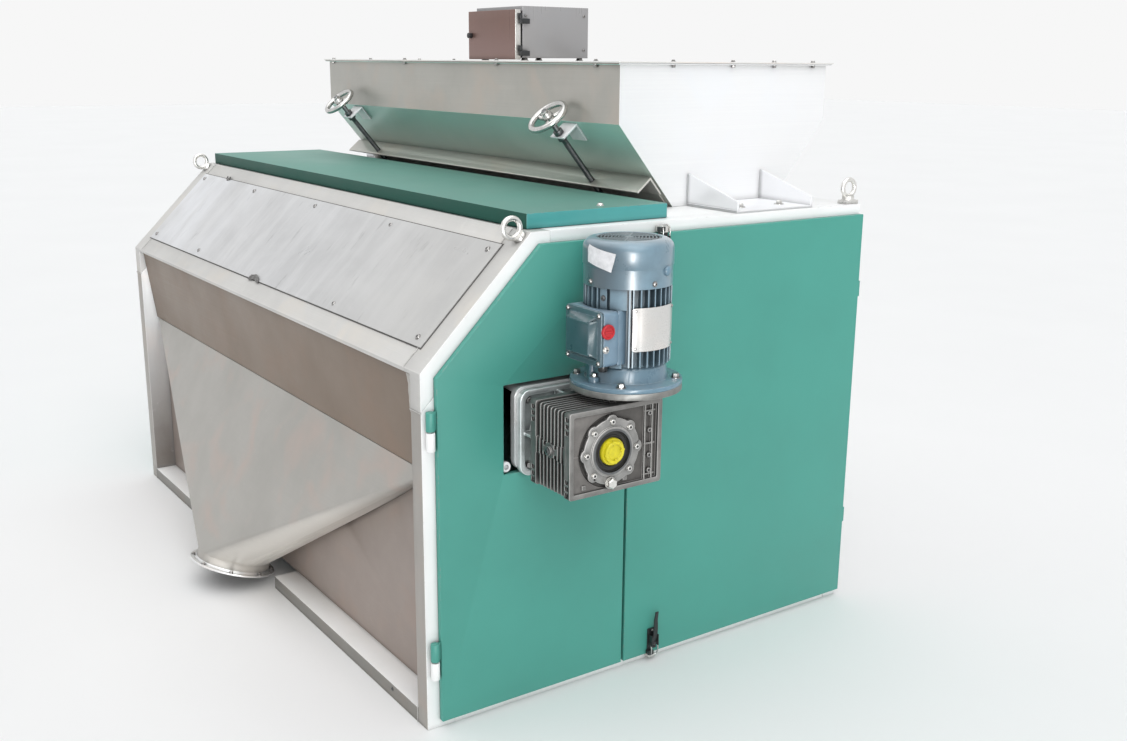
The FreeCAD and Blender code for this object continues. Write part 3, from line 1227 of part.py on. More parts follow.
box_axis_x = box_right + size("box_hinge_out")
box_axis_y = door_back - size("box_door_gap")
box_knuckle = size("box_knuckle")
knuckle_high = size("box_knuckle_length")
knuckle_space = size("box_knuckle_gap")
box_pin = size("box_pin")
pin_hidden = size("box_pin_gap")
hinge_high = knuckle_high * 2 + knuckle_space
fixed, fittings = [], []
for index, place in enumerate((box_door_low + size("box_hinge_edge"),
                               box_door_high - size("box_hinge_edge") - hinge_high)):
    middle = place + knuckle_high + knuckle_space
    arm = block(f"box_arm_{index}", (box_right, box_front, place),
                (box_axis_x + box_knuckle, box_front + size("box_arm_depth"), place + knuckle_high))
    link = block(f"box_link_{index}", (box_axis_x - box_pin, box_axis_y, place),
                 (box_axis_x + box_knuckle, box_front + size("box_door_gap"), place + knuckle_high))
    barrel = rod(f"box_barrel_{index}", "Z", (box_axis_x, box_axis_y, place), box_knuckle, knuckle_high)
    spindle = rod(f"box_pin_{index}", "Z", (box_axis_x, box_axis_y, place + pin_hidden), box_pin,
                  knuckle_high * 2 - pin_hidden)
    fixed.append(fused(f"box_fixed_{index}", [barrel, arm, link, spindle]))
    top_barrel = rod(f"box_top_barrel_{index}", "Z", (box_axis_x, box_axis_y, middle), box_knuckle, knuckle_high)
    wing = block(f"box_wing_{index}", (box_right, box_axis_y - size("box_wing"), middle),
                 (box_axis_x, box_axis_y, middle + knuckle_high))
    bore = rod(f"box_bore_{index}", "Z", (box_axis_x, box_axis_y, middle), box_pin + size("hinge_running"),
               knuckle_high)
    fittings.append(cut(f"box_moving_{index}", fused(f"box_moving_solid_{index}", [top_barrel, wing]), bore))
finish(group("box_fixed_group", fixed), "box_hinge_fixed_halves")
fittings.append(rod("box_knob", "Y", (door_left + size("knob_inset"), door_face_y - size("knob_height"),
                                      (box_door_low + box_door_high) / 2), size("knob_radius"), size("knob_height")))
finish(group("box_fittings_group", fittings), "box_door_fittings")


# Lifting eyebolts: one pair leans with the slope, the other stands on the frame's rear corners.
def eyebolt(name, centre_x, along, height):
    eye = ring(name + "_ring", "X", (centre_x, along, height + size("eye_height")), size("eye_ring"), size("eye_wire"))
    collar = rod(name + "_collar", "Z", (centre_x, along, height), size("eye_collar"), size("eye_collar_height"))
    return fused(name, [eye, collar])


eye_x = side - size("post_width") / 2
eye_pad = size("eye_pad")
pad_half = size("eye_pad_half")
rear_y = depth - size("rear_post_depth") / 2
rear_pad = block("rear_pad", (eye_x - size("eye_collar"), rear_y - pad_half, top),
                 (eye_x + size("eye_collar"), rear_y + pad_half, top + eye_pad))
rear_eye = fused("rear_eye_on_pad", [eyebolt("rear_eye", eye_x, rear_y, top + eye_pad), rear_pad])
front_eye = eyebolt("front_eye", eye_x, slope_length - size("eye_edge"), as_size(0))
front_eyes = pair("front_eyes", front_eye)
front_eyes.Placement = Placement(Vector(), Rotation(Vector(1, 0, 0), SLOPE_TURN.value))
bind(front_eyes, "Placement.Base.z", slope_start)
finish(group("eyebolt_group", [pair("rear_eyes", rear_eye), front_eyes]), "lifting_eyebolts")

doc.recompute()
for thing in doc.Objects:
    if "Invalid" in thing.State or "Error" in thing.State:
        raise RuntimeError(f"{thing.Name} {thing.Label} failed: {thing.State}")
for piece in pieces:
    if piece.Shape.isNull() or not piece.Shape.isValid():
        raise RuntimeError(f"{piece.Label} has no valid shape")
for piece in pieces:
    piece.Shape.exportStep(f"parts/{piece.Label}.step")
    box = piece.Shape.BoundBox
    print(f"{piece.Label:28s} solids {len(piece.Shape.Solids):2d} volume {piece.Shape.Volume / 1e6:9.3f} l "
          f"x {box.XMin:8.1f} {box.XMax:8.1f} y {box.YMin:8.1f} {box.YMax:8.1f} z {box.ZMin:8.1f} {box.ZMax:8.1f}")
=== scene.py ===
import json
import math

import bmesh
import bpy
from mathutils import Matrix, Vector, noise


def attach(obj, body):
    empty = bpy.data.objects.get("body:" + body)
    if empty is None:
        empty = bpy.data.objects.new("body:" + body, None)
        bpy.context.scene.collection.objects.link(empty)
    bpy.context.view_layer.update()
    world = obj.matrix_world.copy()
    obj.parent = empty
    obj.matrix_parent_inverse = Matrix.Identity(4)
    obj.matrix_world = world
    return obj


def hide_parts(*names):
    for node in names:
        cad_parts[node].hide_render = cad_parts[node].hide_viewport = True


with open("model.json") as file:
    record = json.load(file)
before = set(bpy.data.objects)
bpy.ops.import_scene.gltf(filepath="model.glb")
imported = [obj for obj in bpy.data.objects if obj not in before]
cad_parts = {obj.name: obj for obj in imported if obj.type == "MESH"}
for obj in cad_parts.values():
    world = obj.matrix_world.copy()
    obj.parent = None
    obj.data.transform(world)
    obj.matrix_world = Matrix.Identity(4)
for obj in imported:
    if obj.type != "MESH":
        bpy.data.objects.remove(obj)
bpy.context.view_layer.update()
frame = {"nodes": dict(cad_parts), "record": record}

# Drawing coordinates in millimetres: X from the middle of the frame, Y back from its front plane, Z up from the floor.
MIDDLE_X = 108.25
MIDDLE_Y = 480.69
BODY_OF = {node: body for body, nodes in frame["record"]["behaviour"]["bodies"].items() for node in nodes}


def spot(x, y, z):
    """A point of the drawing as a point of the scene."""
    return Vector(((x - MIDDLE_X) / 1000, (y - MIDDLE_Y) / 1000, z / 1000))


def leaning(y, z, degrees):
    """Axes of a sloping face: across, up the slope and out of it, with the origin at its lower edge."""
    turn = math.radians(degrees)
    along = Vector((0, math.cos(turn), math.sin(turn)))
    out = Vector((0, -math.sin(turn), math.cos(turn)))
    axes = Matrix((Vector((1, 0, 0)), along, out)).transposed().to_4x4()
    return Matrix.Translation(spot(0, y, z)) @ axes


SLOPE = leaning(0, 675, 45)
GATE = leaning(679, 900, 180 - math.degrees(math.atan2(169, 142)))


def on_face(axes, across, along, out=0.0):
    """A point of a sloping face, given in millimetres along its own axes."""
    return axes @ Vector((across / 1000, along / 1000, out / 1000))


MOTOR_X, MOTOR_Y = 975, 340


def round_motor(radius, degrees, height):
    """A point round the motor's axis; 0 degrees points away from the cabinet, -90 to the front."""
    angle = math.radians(degrees)
    return spot(MOTOR_X + radius * math.cos(angle), MOTOR_Y + radius * math.sin(angle), height)


def outward(degrees):
    return Vector((math.cos(math.radians(degrees)), math.sin(math.radians(degrees)), 0))


# ---------------------------------------------------------------- camera, floor and light

view_settings = bpy.context.scene.view_settings
view_settings.view_transform = "Standard"

camera_lens = bpy.data.cameras.new("camera")
camera_lens.lens = 38.4437
camera_lens.sensor_width = 36
camera = bpy.data.objects.new("camera", camera_lens)
camera.location = (2.49368982, -1.40227837, 1.18959539)
camera.rotation_euler = [math.radians(angle) for angle in (75.58360197, -0.43229179, 55.38968902)]
bpy.context.scene.collection.objects.link(camera)
bpy.context.scene.camera = camera


def soft_sun(name, toward, strength, spread):
    """Even, soft light from one side; toward points from the machine to the light."""
    lamp = bpy.data.lights.new(name, "SUN")
    lamp.energy = strength
    lamp.angle = math.radians(spread)
    holder = bpy.data.objects.new(name, lamp)
    holder.rotation_euler = Vector(toward).to_track_quat("Z", "Y").to_euler()
    bpy.context.scene.collection.objects.link(holder)


soft_sun("key_light", (0.62, -0.22, 0.75), 1.0, 50)
soft_sun("side_light", (0.8, -0.5, 0.1), 0.55, 18)
soft_sun("overhead_light", (-0.1, -0.1, 1.0), 1.25, 80)


def reflector_strip(name, place, target, width, height, power):
    """An upright strip that only shows as a soft reflection in gloss and metal."""
    lamp = bpy.data.lights.new(name, "AREA")
    lamp.shape = "RECTANGLE"
    lamp.size = width
    lamp.size_y = height
    lamp.energy = power
    holder = bpy.data.objects.new(name, lamp)
    holder.location = place
    holder.rotation_euler = (Vector(place) - Vector(target)).to_track_quat("Z", "Y").to_euler()
    holder.visible_camera = False
    holder.visible_diffuse = False
    bpy.context.scene.collection.objects.link(holder)


reflector_strip("reflector_strip", (2.62, -1.0, 0.42), (0.867, -0.141, 0.78), 0.22, 0.8, 26)


# ---------------------------------------------------------------- finishes


class Finish:
    """A procedural material while it is being put together."""

    def __init__(self, name, metal=0.0, gloss=0.5, coat=0.0, coat_rough=0.1):
        self.material = bpy.data.materials.new(name)
        self.material.use_nodes = True
        self.tree = self.material.node_tree
        self.tree.nodes.clear()
        self.shader = self.add("ShaderNodeBsdfPrincipled")
        self.shader.inputs["Metallic"].default_value = metal
        self.shader.inputs["Specular IOR Level"].default_value = gloss
        self.shader.inputs["Coat Weight"].default_value = coat
        self.shader.inputs["Coat Roughness"].default_value = coat_rough
        output = self.add("ShaderNodeOutputMaterial")
        self.join(self.shader.outputs["BSDF"], output.inputs["Surface"])
        self.place = self.add("ShaderNodeTexCoord").outputs["Object"]
        self.lift = None

    def add(self, kind, **settings):
        node = self.tree.nodes.new(kind)
        for key, value in settings.items():
            setattr(node, key, value)
        return node

    def join(self, source, target):
        self.tree.links.new(source, target)

    def feed(self, target, source):
        if hasattr(source, "is_output"):
            self.join(source, target)
        else:
            target.default_value = source

    def noise(self, size, stretch=(1, 1, 1), detail=3.0, crumble=0.55, shift=(0, 0, 0), bend=0.0):
        """Noise with features of about size millimetres; stretch makes them longer along an axis."""
        mapping = self.add("ShaderNodeMapping")
        mapping.inputs["Location"].default_value = shift
        mapping.inputs["Scale"].default_value = [1000 / size / s for s in stretch]
        self.join(self.place, mapping.inputs["Vector"])
        texture = self.add("ShaderNodeTexNoise")
        texture.inputs["Scale"].default_value = 1
        texture.inputs["Detail"].default_value = detail
        texture.inputs["Roughness"].default_value = crumble
        texture.inputs["Distortion"].default_value = bend
        self.join(mapping.outputs["Vector"], texture.inputs["Vector"])
        return texture.outputs["Fac"]

    def remap(self, value, low, high, to_low=0.0, to_high=1.0):
        node = self.add("ShaderNodeMapRange")
        for key, number in (("From Min", low), ("From Max", high), ("To Min", to_low), ("To Max", to_high)):
            node.inputs[key].default_value = number
        self.join(value, node.inputs["Value"])
        return node.outputs["Result"]

    def calc(self, work, first, second):
        node = self.add("ShaderNodeMath", operation=work, use_clamp=False)
        self.feed(node.inputs[0], first)
        self.feed(node.inputs[1], second)
        return node.outputs[0]

    def blend(self, share, first, second):
        node = self.add("ShaderNodeMix", data_type="RGBA")
        self.feed(node.inputs[0], share)
        for socket, colour in ((node.inputs[6], first), (node.inputs[7], second)):
            self.feed(socket, (*colour, 1.0) if isinstance(colour, tuple) else colour)
        return node.outputs[2]

    def relief(self, height, depth, strength=1.0):
        """Adds a bump of depth millimetres on top of the ones before it."""
        node = self.add("ShaderNodeBump")
        node.inputs["Strength"].default_value = strength
        node.inputs["Distance"].default_value = depth / 1000
        self.join(height, node.inputs["Height"])
        if self.lift is not None:
            self.join(self.lift, node.inputs["Normal"])
        self.lift = node.outputs["Normal"]
        self.join(self.lift, self.shader.inputs["Normal"])

    def rounded_edges(self):
        return self.add("ShaderNodeAttribute", attribute_name="rounded_edges").outputs["Fac"]

    def facing_up(self):
        normal = self.add("ShaderNodeNewGeometry").outputs["Normal"]
        split = self.add("ShaderNodeSeparateXYZ")
        self.join(normal, split.inputs[0])
        return self.remap(split.outputs["Z"], 0.55, 0.95)

    def facing_front(self):
        normal = self.add("ShaderNodeNewGeometry").outputs["Normal"]
        split = self.add("ShaderNodeSeparateXYZ")
        self.join(normal, split.inputs[0])
        return self.remap(split.outputs["Y"], -0.45, -1.0)

    def turned_sideways(self):
        """1 where the surface turns to the left or the right, below the slope; it places painted light on the chute's
        sideways bend.
        """
        normal = self.add("ShaderNodeNewGeometry").outputs["Normal"]
        split = self.add("ShaderNodeSeparateXYZ")
        self.join(normal, split.inputs[0])
        return self.calc("MULTIPLY", self.remap(self.calc("ABSOLUTE", split.outputs["X"], 0.0), 0.22, 0.5), self.height(430, 300))

    def height(self, low, high):
        """0 below the first height over the floor and 1 above the second, in millimetres."""
        split = self.add("ShaderNodeSeparateXYZ")
        self.join(self.place, split.inputs[0])
        return self.remap(split.outputs["Z"], low / 1000, high / 1000)

    def hollow(self, reach, full=0.35):
        """1 in corners and hollows closer than reach millimetres, 0 in the open."""
        node = self.add("ShaderNodeAmbientOcclusion", samples=6)
        node.inputs["Distance"].default_value = reach / 1000
        return self.remap(node.outputs["AO"], 0.95, full)

    def done(self, colour, roughness):
        self.feed(self.shader.inputs["Base Color"], colour)
        self.feed(self.shader.inputs["Roughness"], roughness)
        return self.material


def shade(colour, amount):
    return tuple(min(1.0, part * amount) for part in colour)


def paint(name, colour, dust=0.25, dust_colour=(0.42, 0.4, 0.36), edge=(0.3, 0.29, 0.27), wear=0.5, rough=0.38,
          grime_and_shade=0.2, hollow_shade=0.5, peel=0.5, gloss=0.45):
    """Sprayed paint on sheet steel: slight cloudiness, orange peel, dust on top, painted shade in corners and hollows,
    chipped edges and faint scratches.
    """
    f = Finish(name, gloss=gloss)
    cloud = f.noise(230, detail=4)
    base = f.blend(f.remap(cloud, 0.3, 0.7), shade(colour, 0.94), shade(colour, 1.05))
    streak = f.remap(f.noise(5, stretch=(14, 14, 1), detail=5, crumble=0.7), 0.68, 0.74)
    base = f.blend(f.calc("MULTIPLY", streak, 0.1), base, shade(colour, 1.3))
    speck = f.remap(f.noise(26, detail=8, crumble=0.75), 0.3, 0.22)
    base = f.blend(f.calc("MULTIPLY", speck, grime_and_shade), base, shade(colour, 0.45))
    powder = f.calc("MULTIPLY", f.facing_up(), f.remap(f.noise(90, detail=6, crumble=0.65), 0.3, 0.72, dust * 0.45, dust))
    base = f.blend(powder, base, dust_colour)
    # Painted shade: darker in corners and hollows.
    base = f.blend(f.calc("MULTIPLY", f.hollow(9, 0.45), hollow_shade), base, shade(colour, 0.3))
    chips = f.calc("MULTIPLY", f.rounded_edges(), f.remap(f.noise(16, detail=6, crumble=0.75), 0.53, 0.6, 0.0, wear))
    base = f.blend(chips, base, edge)
    roughness = f.calc("ADD", f.remap(cloud, 0.3, 0.7, rough - 0.04, rough + 0.05), f.calc("MULTIPLY", powder, 0.35))
    f.relief(f.noise(2.2, detail=2), 0.02, peel)
    f.relief(f.noise(160, detail=2), 0.6, 0.35)
    return f.done(base, roughness)


def sheet_metal(name, colour, along=0, metal=0.6, rough=0.42, smear=0.35, grain_strength=0.5, wave=0.5, tint=(1.06, 0.98, 0.94),
                hollow_shade=0.6, drift=0.14, fade=None, scuffs=1.0, lit_bend_colour=None):
    """Mill-finished stainless sheet: faint rolling lines, cloudy handling marks, warm patches and soft dents, with
    painted shade in corners and hollows; fade paints reflection that changes with height and lit_bend_colour paints
    light on faces that turn sideways.
    """
    f = Finish(name, metal=metal, gloss=0.5)
    lines = [1, 1, 1]
    lines[along] = 260
    grain = f.noise(1.3, stretch=tuple(lines), detail=2)
    cloud = f.noise(210, detail=5, crumble=0.6)
    patch = f.noise(120, detail=3, crumble=0.5, shift=(4.1, 2.3, 0.6), bend=0.6)
    base = f.blend(f.remap(grain, 0.25, 0.75), shade(colour, 1 - 0.1 * grain_strength), shade(colour, 1 + 0.08 * grain_strength))
    base = f.blend(f.remap(cloud, 0.4, 0.72, 0.0, smear), base, shade(colour, 1 - drift))
    warm = tuple(part * factor for part, factor in zip(colour, tint))
    base = f.blend(f.remap(patch, 0.5, 0.7, 0.0, 0.75), base, warm)
    # Painted reflection: the colour turns towards lower_colour below high, fully below low.
    if fade:
        low, high, lower_colour = fade
        base = f.blend(f.calc("MULTIPLY", f.height(high, low), f.remap(cloud, 0.3, 0.7, 0.85, 1.0)), base, lower_colour)
    prints = f.remap(f.noise(34, detail=8, crumble=0.72, shift=(3.1, 0.4, 1.7)), 0.61, 0.7)
    base = f.blend(f.calc("MULTIPLY", prints, 0.16 * scuffs), base, shade(colour, 1.3))
    scratch = f.remap(f.noise(3, stretch=(1, 30, 9), detail=4, crumble=0.7, shift=(0.7, 5.0, 2.0)), 0.7, 0.75)
    base = f.blend(f.calc("MULTIPLY", scratch, 0.2 * scuffs), base, shade(colour, 1.35))
    # Painted light on faces that turn sideways.
    if lit_bend_colour:
        base = f.blend(f.turned_sideways(), base, lit_bend_colour)
    # Painted shade: darker in corners and hollows.
    base = f.blend(f.calc("MULTIPLY", f.hollow(12, 0.4), hollow_shade), base, shade(colour, 0.3))
    base = f.blend(f.calc("MULTIPLY", f.rounded_edges(), 0.3), base, shade(colour, 1.35))
    roughness = f.calc("ADD", f.remap(grain, 0.2, 0.8, rough - 0.05, rough + 0.06), f.remap(cloud, 0.35, 0.75, -0.03, 0.1))
    f.relief(grain, 0.01, 0.5 * grain_strength)
    f.relief(f.noise(240, detail=1), 1.6, wave)
    return f.done(base, roughness)


def cast(name, colour, metal=0.8, rough=0.48, dirt_and_shade=0.85, grit=1.1, edge=1.7):
    """Die-cast metal: grainy skin, edges brightened partly as rubbed wear and partly as painted highlight, and hollows
    darkened partly as dirt and partly as painted shade.
    """
    f = Finish(name, metal=metal)
    cloud = f.noise(34, detail=6, crumble=0.65)
    base = f.blend(f.remap(cloud, 0.3, 0.7), shade(colour, 0.74), shade(colour, 1.18))
    pores = f.remap(f.noise(grit * 1.6, detail=4, crumble=0.7), 0.34, 0.26)
    base = f.blend(f.calc("MULTIPLY", pores, 0.5), base, shade(colour, 0.4))
    # Hollows darkened: partly dirt, partly painted shade.
    grime_and_shade = f.calc("MULTIPLY", f.hollow(15, 0.45), f.remap(cloud, 0.2, 0.8, dirt_and_shade * 0.75, dirt_and_shade))
    base = f.blend(grime_and_shade, base, shade(colour, 0.1))
    # Brighter rounded edges: partly rubbed wear, partly painted highlight.
    base = f.blend(f.calc("MULTIPLY", f.rounded_edges(), 0.6), base, shade(colour, edge))
    f.relief(f.noise(grit, detail=3), 0.12, 0.7)
    return f.done(base, f.remap(cloud, 0.2, 0.8, rough - 0.08, rough + 0.12))


def enamel(name, colour, rough=0.3, dirt_and_shade=0.6, edge=(0.3, 0.4, 0.46), coat=0.35, front_shade=0.6, shine=0.22):
    """Thick machine enamel on a casting: glossy, slightly lumpy, with painted shade on faces that turn to the front,
    dust on top, hollows darkened partly as dirt and partly as painted shade, and rubbed edges.
    """
    f = Finish(name, gloss=0.5, coat=coat, coat_rough=shine)
    cloud = f.noise(42, detail=5, crumble=0.6)
    base = f.blend(f.remap(cloud, 0.3, 0.7), shade(colour, 0.84), shade(colour, 1.1))
    # Painted shade on faces that turn to the front.
    base = f.blend(f.calc("MULTIPLY", f.facing_front(), f.remap(cloud, 0.2, 0.8, front_shade * 0.85, front_shade)), base, shade(colour, 0.2))
    rubbed = f.calc("MULTIPLY", f.rounded_edges(), f.remap(f.noise(7, detail=5, crumble=0.7), 0.45, 0.62, 0.08, 0.4))
    base = f.blend(rubbed, base, edge)
    dust = f.calc("MULTIPLY", f.facing_up(), f.remap(f.noise(28, detail=6, crumble=0.7), 0.35, 0.7, 0.1, 0.45))
    base = f.blend(dust, base, (0.3, 0.32, 0.33))
    # Hollows darkened: partly dirt, partly painted shade.
    grime_and_shade = f.calc("MULTIPLY", f.hollow(16, 0.45), f.remap(cloud, 0.2, 0.8, dirt_and_shade * 0.7, dirt_and_shade))
    base = f.blend(grime_and_shade, base, shade(colour, 0.1))
    f.relief(f.noise(1.8, detail=2), 0.06, 0.6)
    f.relief(f.noise(11, detail=2), 0.25, 0.5)
    return f.done(base, f.remap(cloud, 0.2, 0.8, rough - 0.05, rough + 0.14))


def plated(name, colour, rough=0.16, tarnish=0.4, grit=3.0, shadow=0.7):
    """Plated or polished metal with tarnish spots, painted shade in the hollows and fine pitting."""
    f = Finish(name, metal=1.0)
    cloud = f.noise(12, detail=6, crumble=0.65)
    base = f.blend(f.remap(cloud, 0.35, 0.75, 0.0, tarnish), colour, shade(colour, 0.45))
    base = f.blend(f.calc("MULTIPLY", f.hollow(8, 0.4), shadow), base, shade(colour, 0.15))
    f.relief(f.noise(grit, detail=3), 0.05, 0.5)
    return f.done(base, f.remap(cloud, 0.3, 0.8, rough, rough + 0.2))


def moulded(name, colour, rough=0.45, grain=0.8, gloss=0.5):
    """Moulded plastic or rubber: fine grain, scuffs, slightly paler patches and painted shade in the hollows."""
    f = Finish(name, gloss=gloss)
    cloud = f.noise(15, detail=5, crumble=0.65)
    base = f.blend(f.remap(cloud, 0.3, 0.7), shade(colour, 0.82), shade(colour, 1.12))
    scuff = f.remap(f.noise(6, stretch=(1, 1, 5), detail=6, crumble=0.75), 0.62, 0.7)
    base = f.blend(f.calc("MULTIPLY", scuff, 0.2), base, shade(colour, 1.6))
    # Painted shade: darker in the hollows.
    base = f.blend(f.calc("MULTIPLY", f.hollow(5), 0.6), base, shade(colour, 0.35))
    f.relief(f.noise(grain, detail=2), 0.05, 0.6)
    return f.done(base, f.remap(cloud, 0.2, 0.8, rough - 0.06, rough + 0.14))


def film_cover(name, colour):
    """Steel sheet still under its cloudy protective film: milky patches, creases, bubbles and grey rubbed marks."""
    f = Finish(name, metal=0.15, gloss=0.5, coat=0.5, coat_rough=0.28)
    cloud = f.noise(150, stretch=(1.6, 1, 1), detail=5, crumble=0.6, bend=0.5)
    base = f.blend(f.remap(cloud, 0.32, 0.68), shade(colour, 0.84), shade(colour, 1.08))
    milk = f.remap(f.noise(60, stretch=(0.8, 4, 4), detail=5, crumble=0.6, shift=(2.0, 0.3, 0.9)), 0.45, 0.7)
    base = f.blend(f.calc("MULTIPLY", milk, 0.55), base, shade(colour, 1.25))
    rubbed = f.remap(f.noise(42, stretch=(0.5, 2.4, 2.4), detail=6, crumble=0.7, shift=(0.3, 1.9, 4.2)), 0.6, 0.7)
    base = f.blend(f.calc("MULTIPLY", rubbed, 0.55), base, shade(colour, 0.5))
    crease = f.remap(f.noise(8, stretch=(1, 16, 16), detail=3, crumble=0.6, bend=0.4), 0.66, 0.72)
    base = f.blend(f.calc("MULTIPLY", crease, 0.3), base, shade(colour, 1.25))
    split = f.add("ShaderNodeSeparateXYZ")
    f.join(f.place, split.inputs[0])
    far = f.calc("MULTIPLY", f.remap(split.outputs["X"], -0.35, -0.9), f.remap(f.noise(110, stretch=(1, 2.5, 2.5), detail=3), 0.35, 0.62))
    base = f.blend(f.calc("MULTIPLY", far, 0.5), base, (0.86, 0.88, 0.93))
    near = f.calc("MULTIPLY", f.remap(split.outputs["X"], 0.0, 0.7), f.remap(cloud, 0.3, 0.7, 0.6, 1.0))
    base = f.blend(f.calc("MULTIPLY", near, 0.75), base, (0.5, 0.49, 0.465))
    base = f.blend(f.calc("MULTIPLY", f.rounded_edges(), 0.4), base, shade(colour, 0.55))
    f.relief(f.noise(26, stretch=(1, 3, 3), detail=4, bend=0.7), 0.5, 0.55)
    f.relief(f.noise(110, detail=2), 1.8, 0.5)
    return f.done(base, f.remap(cloud, 0.3, 0.7, 0.26, 0.44))


FRAME_WHITE = paint("frame_white_paint", (0.97, 0.975, 0.965), dust=0.12, dust_colour=(0.65, 0.64, 0.62), edge=(0.55, 0.53, 0.5), wear=0.35, rough=0.34, grime_and_shade=0.16, hollow_shade=0.35)
SLOPE_BEIGE = sheet_metal("slope_frame_steel", (0.61, 0.6, 0.58), metal=0.2, rough=0.4, smear=0.6, grain_strength=0.5, hollow_shade=0.8, tint=(1.04, 1.0, 0.95), drift=0.2)
# Painted reflection: the frame's front faces and the posts' inner faces take darker steel colours for the floor they
# reflect, the inner faces darkening towards the floor.
POST_INNER_REFLECTION = sheet_metal("post_inner_painted_reflection", (0.9, 0.92, 0.93), metal=0.3, along=2, rough=0.36, hollow_shade=0.5, fade=(70, 560, (0.2, 0.175, 0.155)))
FRONT_FACE_REFLECTION = sheet_metal("front_edge_painted_reflection", (0.4, 0.38, 0.355), metal=0.4, along=2, rough=0.42, drift=0.25)
RAIL_FRONT_REFLECTION = sheet_metal("front_rail_painted_reflection", (0.27, 0.26, 0.24), metal=0.4, rough=0.42, drift=0.3)
DOOR_GREEN = paint("door_green_paint", (0.073, 0.345, 0.283), dust=0.1, dust_colour=(0.3, 0.4, 0.36), wear=0.3, rough=0.45, grime_and_shade=0.1, hollow_shade=0.5, peel=0.35)
# Lit and shaded copies of one green for the lid: the side copy is painted light, the front copy painted shade.
LID_GREEN = paint("lid_top_green_paint", (0.1, 0.285, 0.235), dust=0.4, dust_colour=(0.2, 0.32, 0.28), wear=0.3, rough=0.42, grime_and_shade=0.25, gloss=0.35)
LID_SIDE_PAINTED_LIGHT = paint("lid_side_green_painted_light", (0.08, 0.38, 0.37), wear=0.3, rough=0.3, grime_and_shade=0.1)
LID_FRONT_PAINTED_SHADE = paint("lid_front_green_painted_shade", (0.012, 0.082, 0.06), wear=0.25, rough=0.5, grime_and_shade=0.2, gloss=0.2, edge=(0.1, 0.2, 0.17))
# The chute's sideways bend gets painted light.
CHUTE_STEEL = sheet_metal("chute_steel", (0.43, 0.415, 0.387), metal=0.5, rough=0.4, tint=(1.12, 0.96, 0.92), smear=0.5, drift=0.18, lit_bend_colour=(0.74, 0.71, 0.66))
# Partly painted reflection: the warm dark grey stands for the shaded floor the strip reflects.
STRIP_STEEL_PAINTED_REFLECTION = sheet_metal("strip_steel_painted_reflection", (0.245, 0.193, 0.153), metal=0.4, rough=0.46, smear=0.35, wave=0.3, tint=(1.05, 0.98, 0.95), drift=0.2)
LOWER_STEEL = sheet_metal("lower_panel_steel", (0.36, 0.305, 0.275), metal=0.35, rough=0.44, smear=0.5, drift=0.18)
HOPPER_STEEL = sheet_metal("hopper_front_steel", (0.48, 0.46, 0.425), metal=0.6, rough=0.36, smear=0.6, wave=0.35, drift=0.2)
# The leaning face's green is the lid's painted reflection, greying towards its lower edge; the end faces' near white is
# painted light.
LEAN_PAINTED_REFLECTION = sheet_metal("hopper_leaning_painted_reflection", (0.46, 0.74, 0.655), metal=0.3, rough=0.34, smear=0.25, wave=0.2, grain_strength=0.3, drift=0.12, hollow_shade=0.2, tint=(1.05, 1, 0.97), fade=(950, 1045, (0.6, 0.575, 0.52)), scuffs=0)
END_PAINTED_LIGHT = sheet_metal("hopper_end_painted_light", (0.99, 0.99, 1.0), metal=0.12, rough=0.4, along=1, smear=0.1, tint=(0.98, 0.99, 1.0), drift=0.08, hollow_shade=0.3, grain_strength=0.35)
COVER_STEEL = sheet_metal("hopper_cover_steel", (0.84, 0.83, 0.8), metal=0.5, rough=0.34)
GATE_STEEL = sheet_metal("gate_steel", (0.6, 0.585, 0.54), metal=0.45, rough=0.34, smear=0.4)
BOX_STEEL = sheet_metal("box_side_steel", (0.38, 0.375, 0.38), metal=0.7, along=2, rough=0.32, wave=0.2, tint=(0.98, 1.0, 1.02), grain_strength=0.12)
BOX_TOP_STEEL = sheet_metal("box_top_steel", (0.4, 0.395, 0.39), metal=0.7, rough=0.3, wave=0.2, grain_strength=0.12)
# The box door's brown is painted reflection, lighter towards its bottom; its side edges take a lighter copy as painted
# light.
BOX_DOOR_PAINTED_REFLECTION = sheet_metal("box_door_painted_reflection", (0.2, 0.115, 0.095), metal=0.6, along=2, rough=0.32, wave=0.15, tint=(1.12, 1.0, 0.97), grain_strength=0.1, fade=(1195, 1280, (0.29, 0.2, 0.185)))
BOX_EDGE_PAINTED_LIGHT = sheet_metal("box_edge_painted_light", (0.62, 0.61, 0.59), metal=0.6, along=2, rough=0.28, wave=0.1, grain_strength=0.1, hollow_shade=0.3)
# Near black inner plate: painted shade for the dark inside seen through the window.
INNER_PLATE_SHADE = sheet_metal("inner_plate_painted_shade", (0.03, 0.031, 0.034), metal=0.4, rough=0.5)
FLANGE_STEEL = sheet_metal("outlet_flange_steel", (0.8, 0.81, 0.81), metal=0.6, rough=0.3, hollow_shade=0.6)
FEET_STEEL = sheet_metal("feet_steel", (0.93, 0.935, 0.95), metal=0.25, along=1, rough=0.36, smear=0.3, tint=(1, 1, 1), grain_strength=0.3, hollow_shade=0.8)
FILM = film_cover("slope_film", (0.55, 0.55, 0.555))
LOOSE_FILM = film_cover("loose_film", (0.4, 0.36, 0.33))
# The casting edge factors paint highlights on the rounded edges as well as wear.
GEAR_CASTING = cast("gear_casting", (0.2, 0.195, 0.188), metal=0.65, dirt_and_shade=0.9)
GEAR_FACE = cast("gear_face_casting", (0.24, 0.235, 0.226), metal=0.7, edge=1.9)
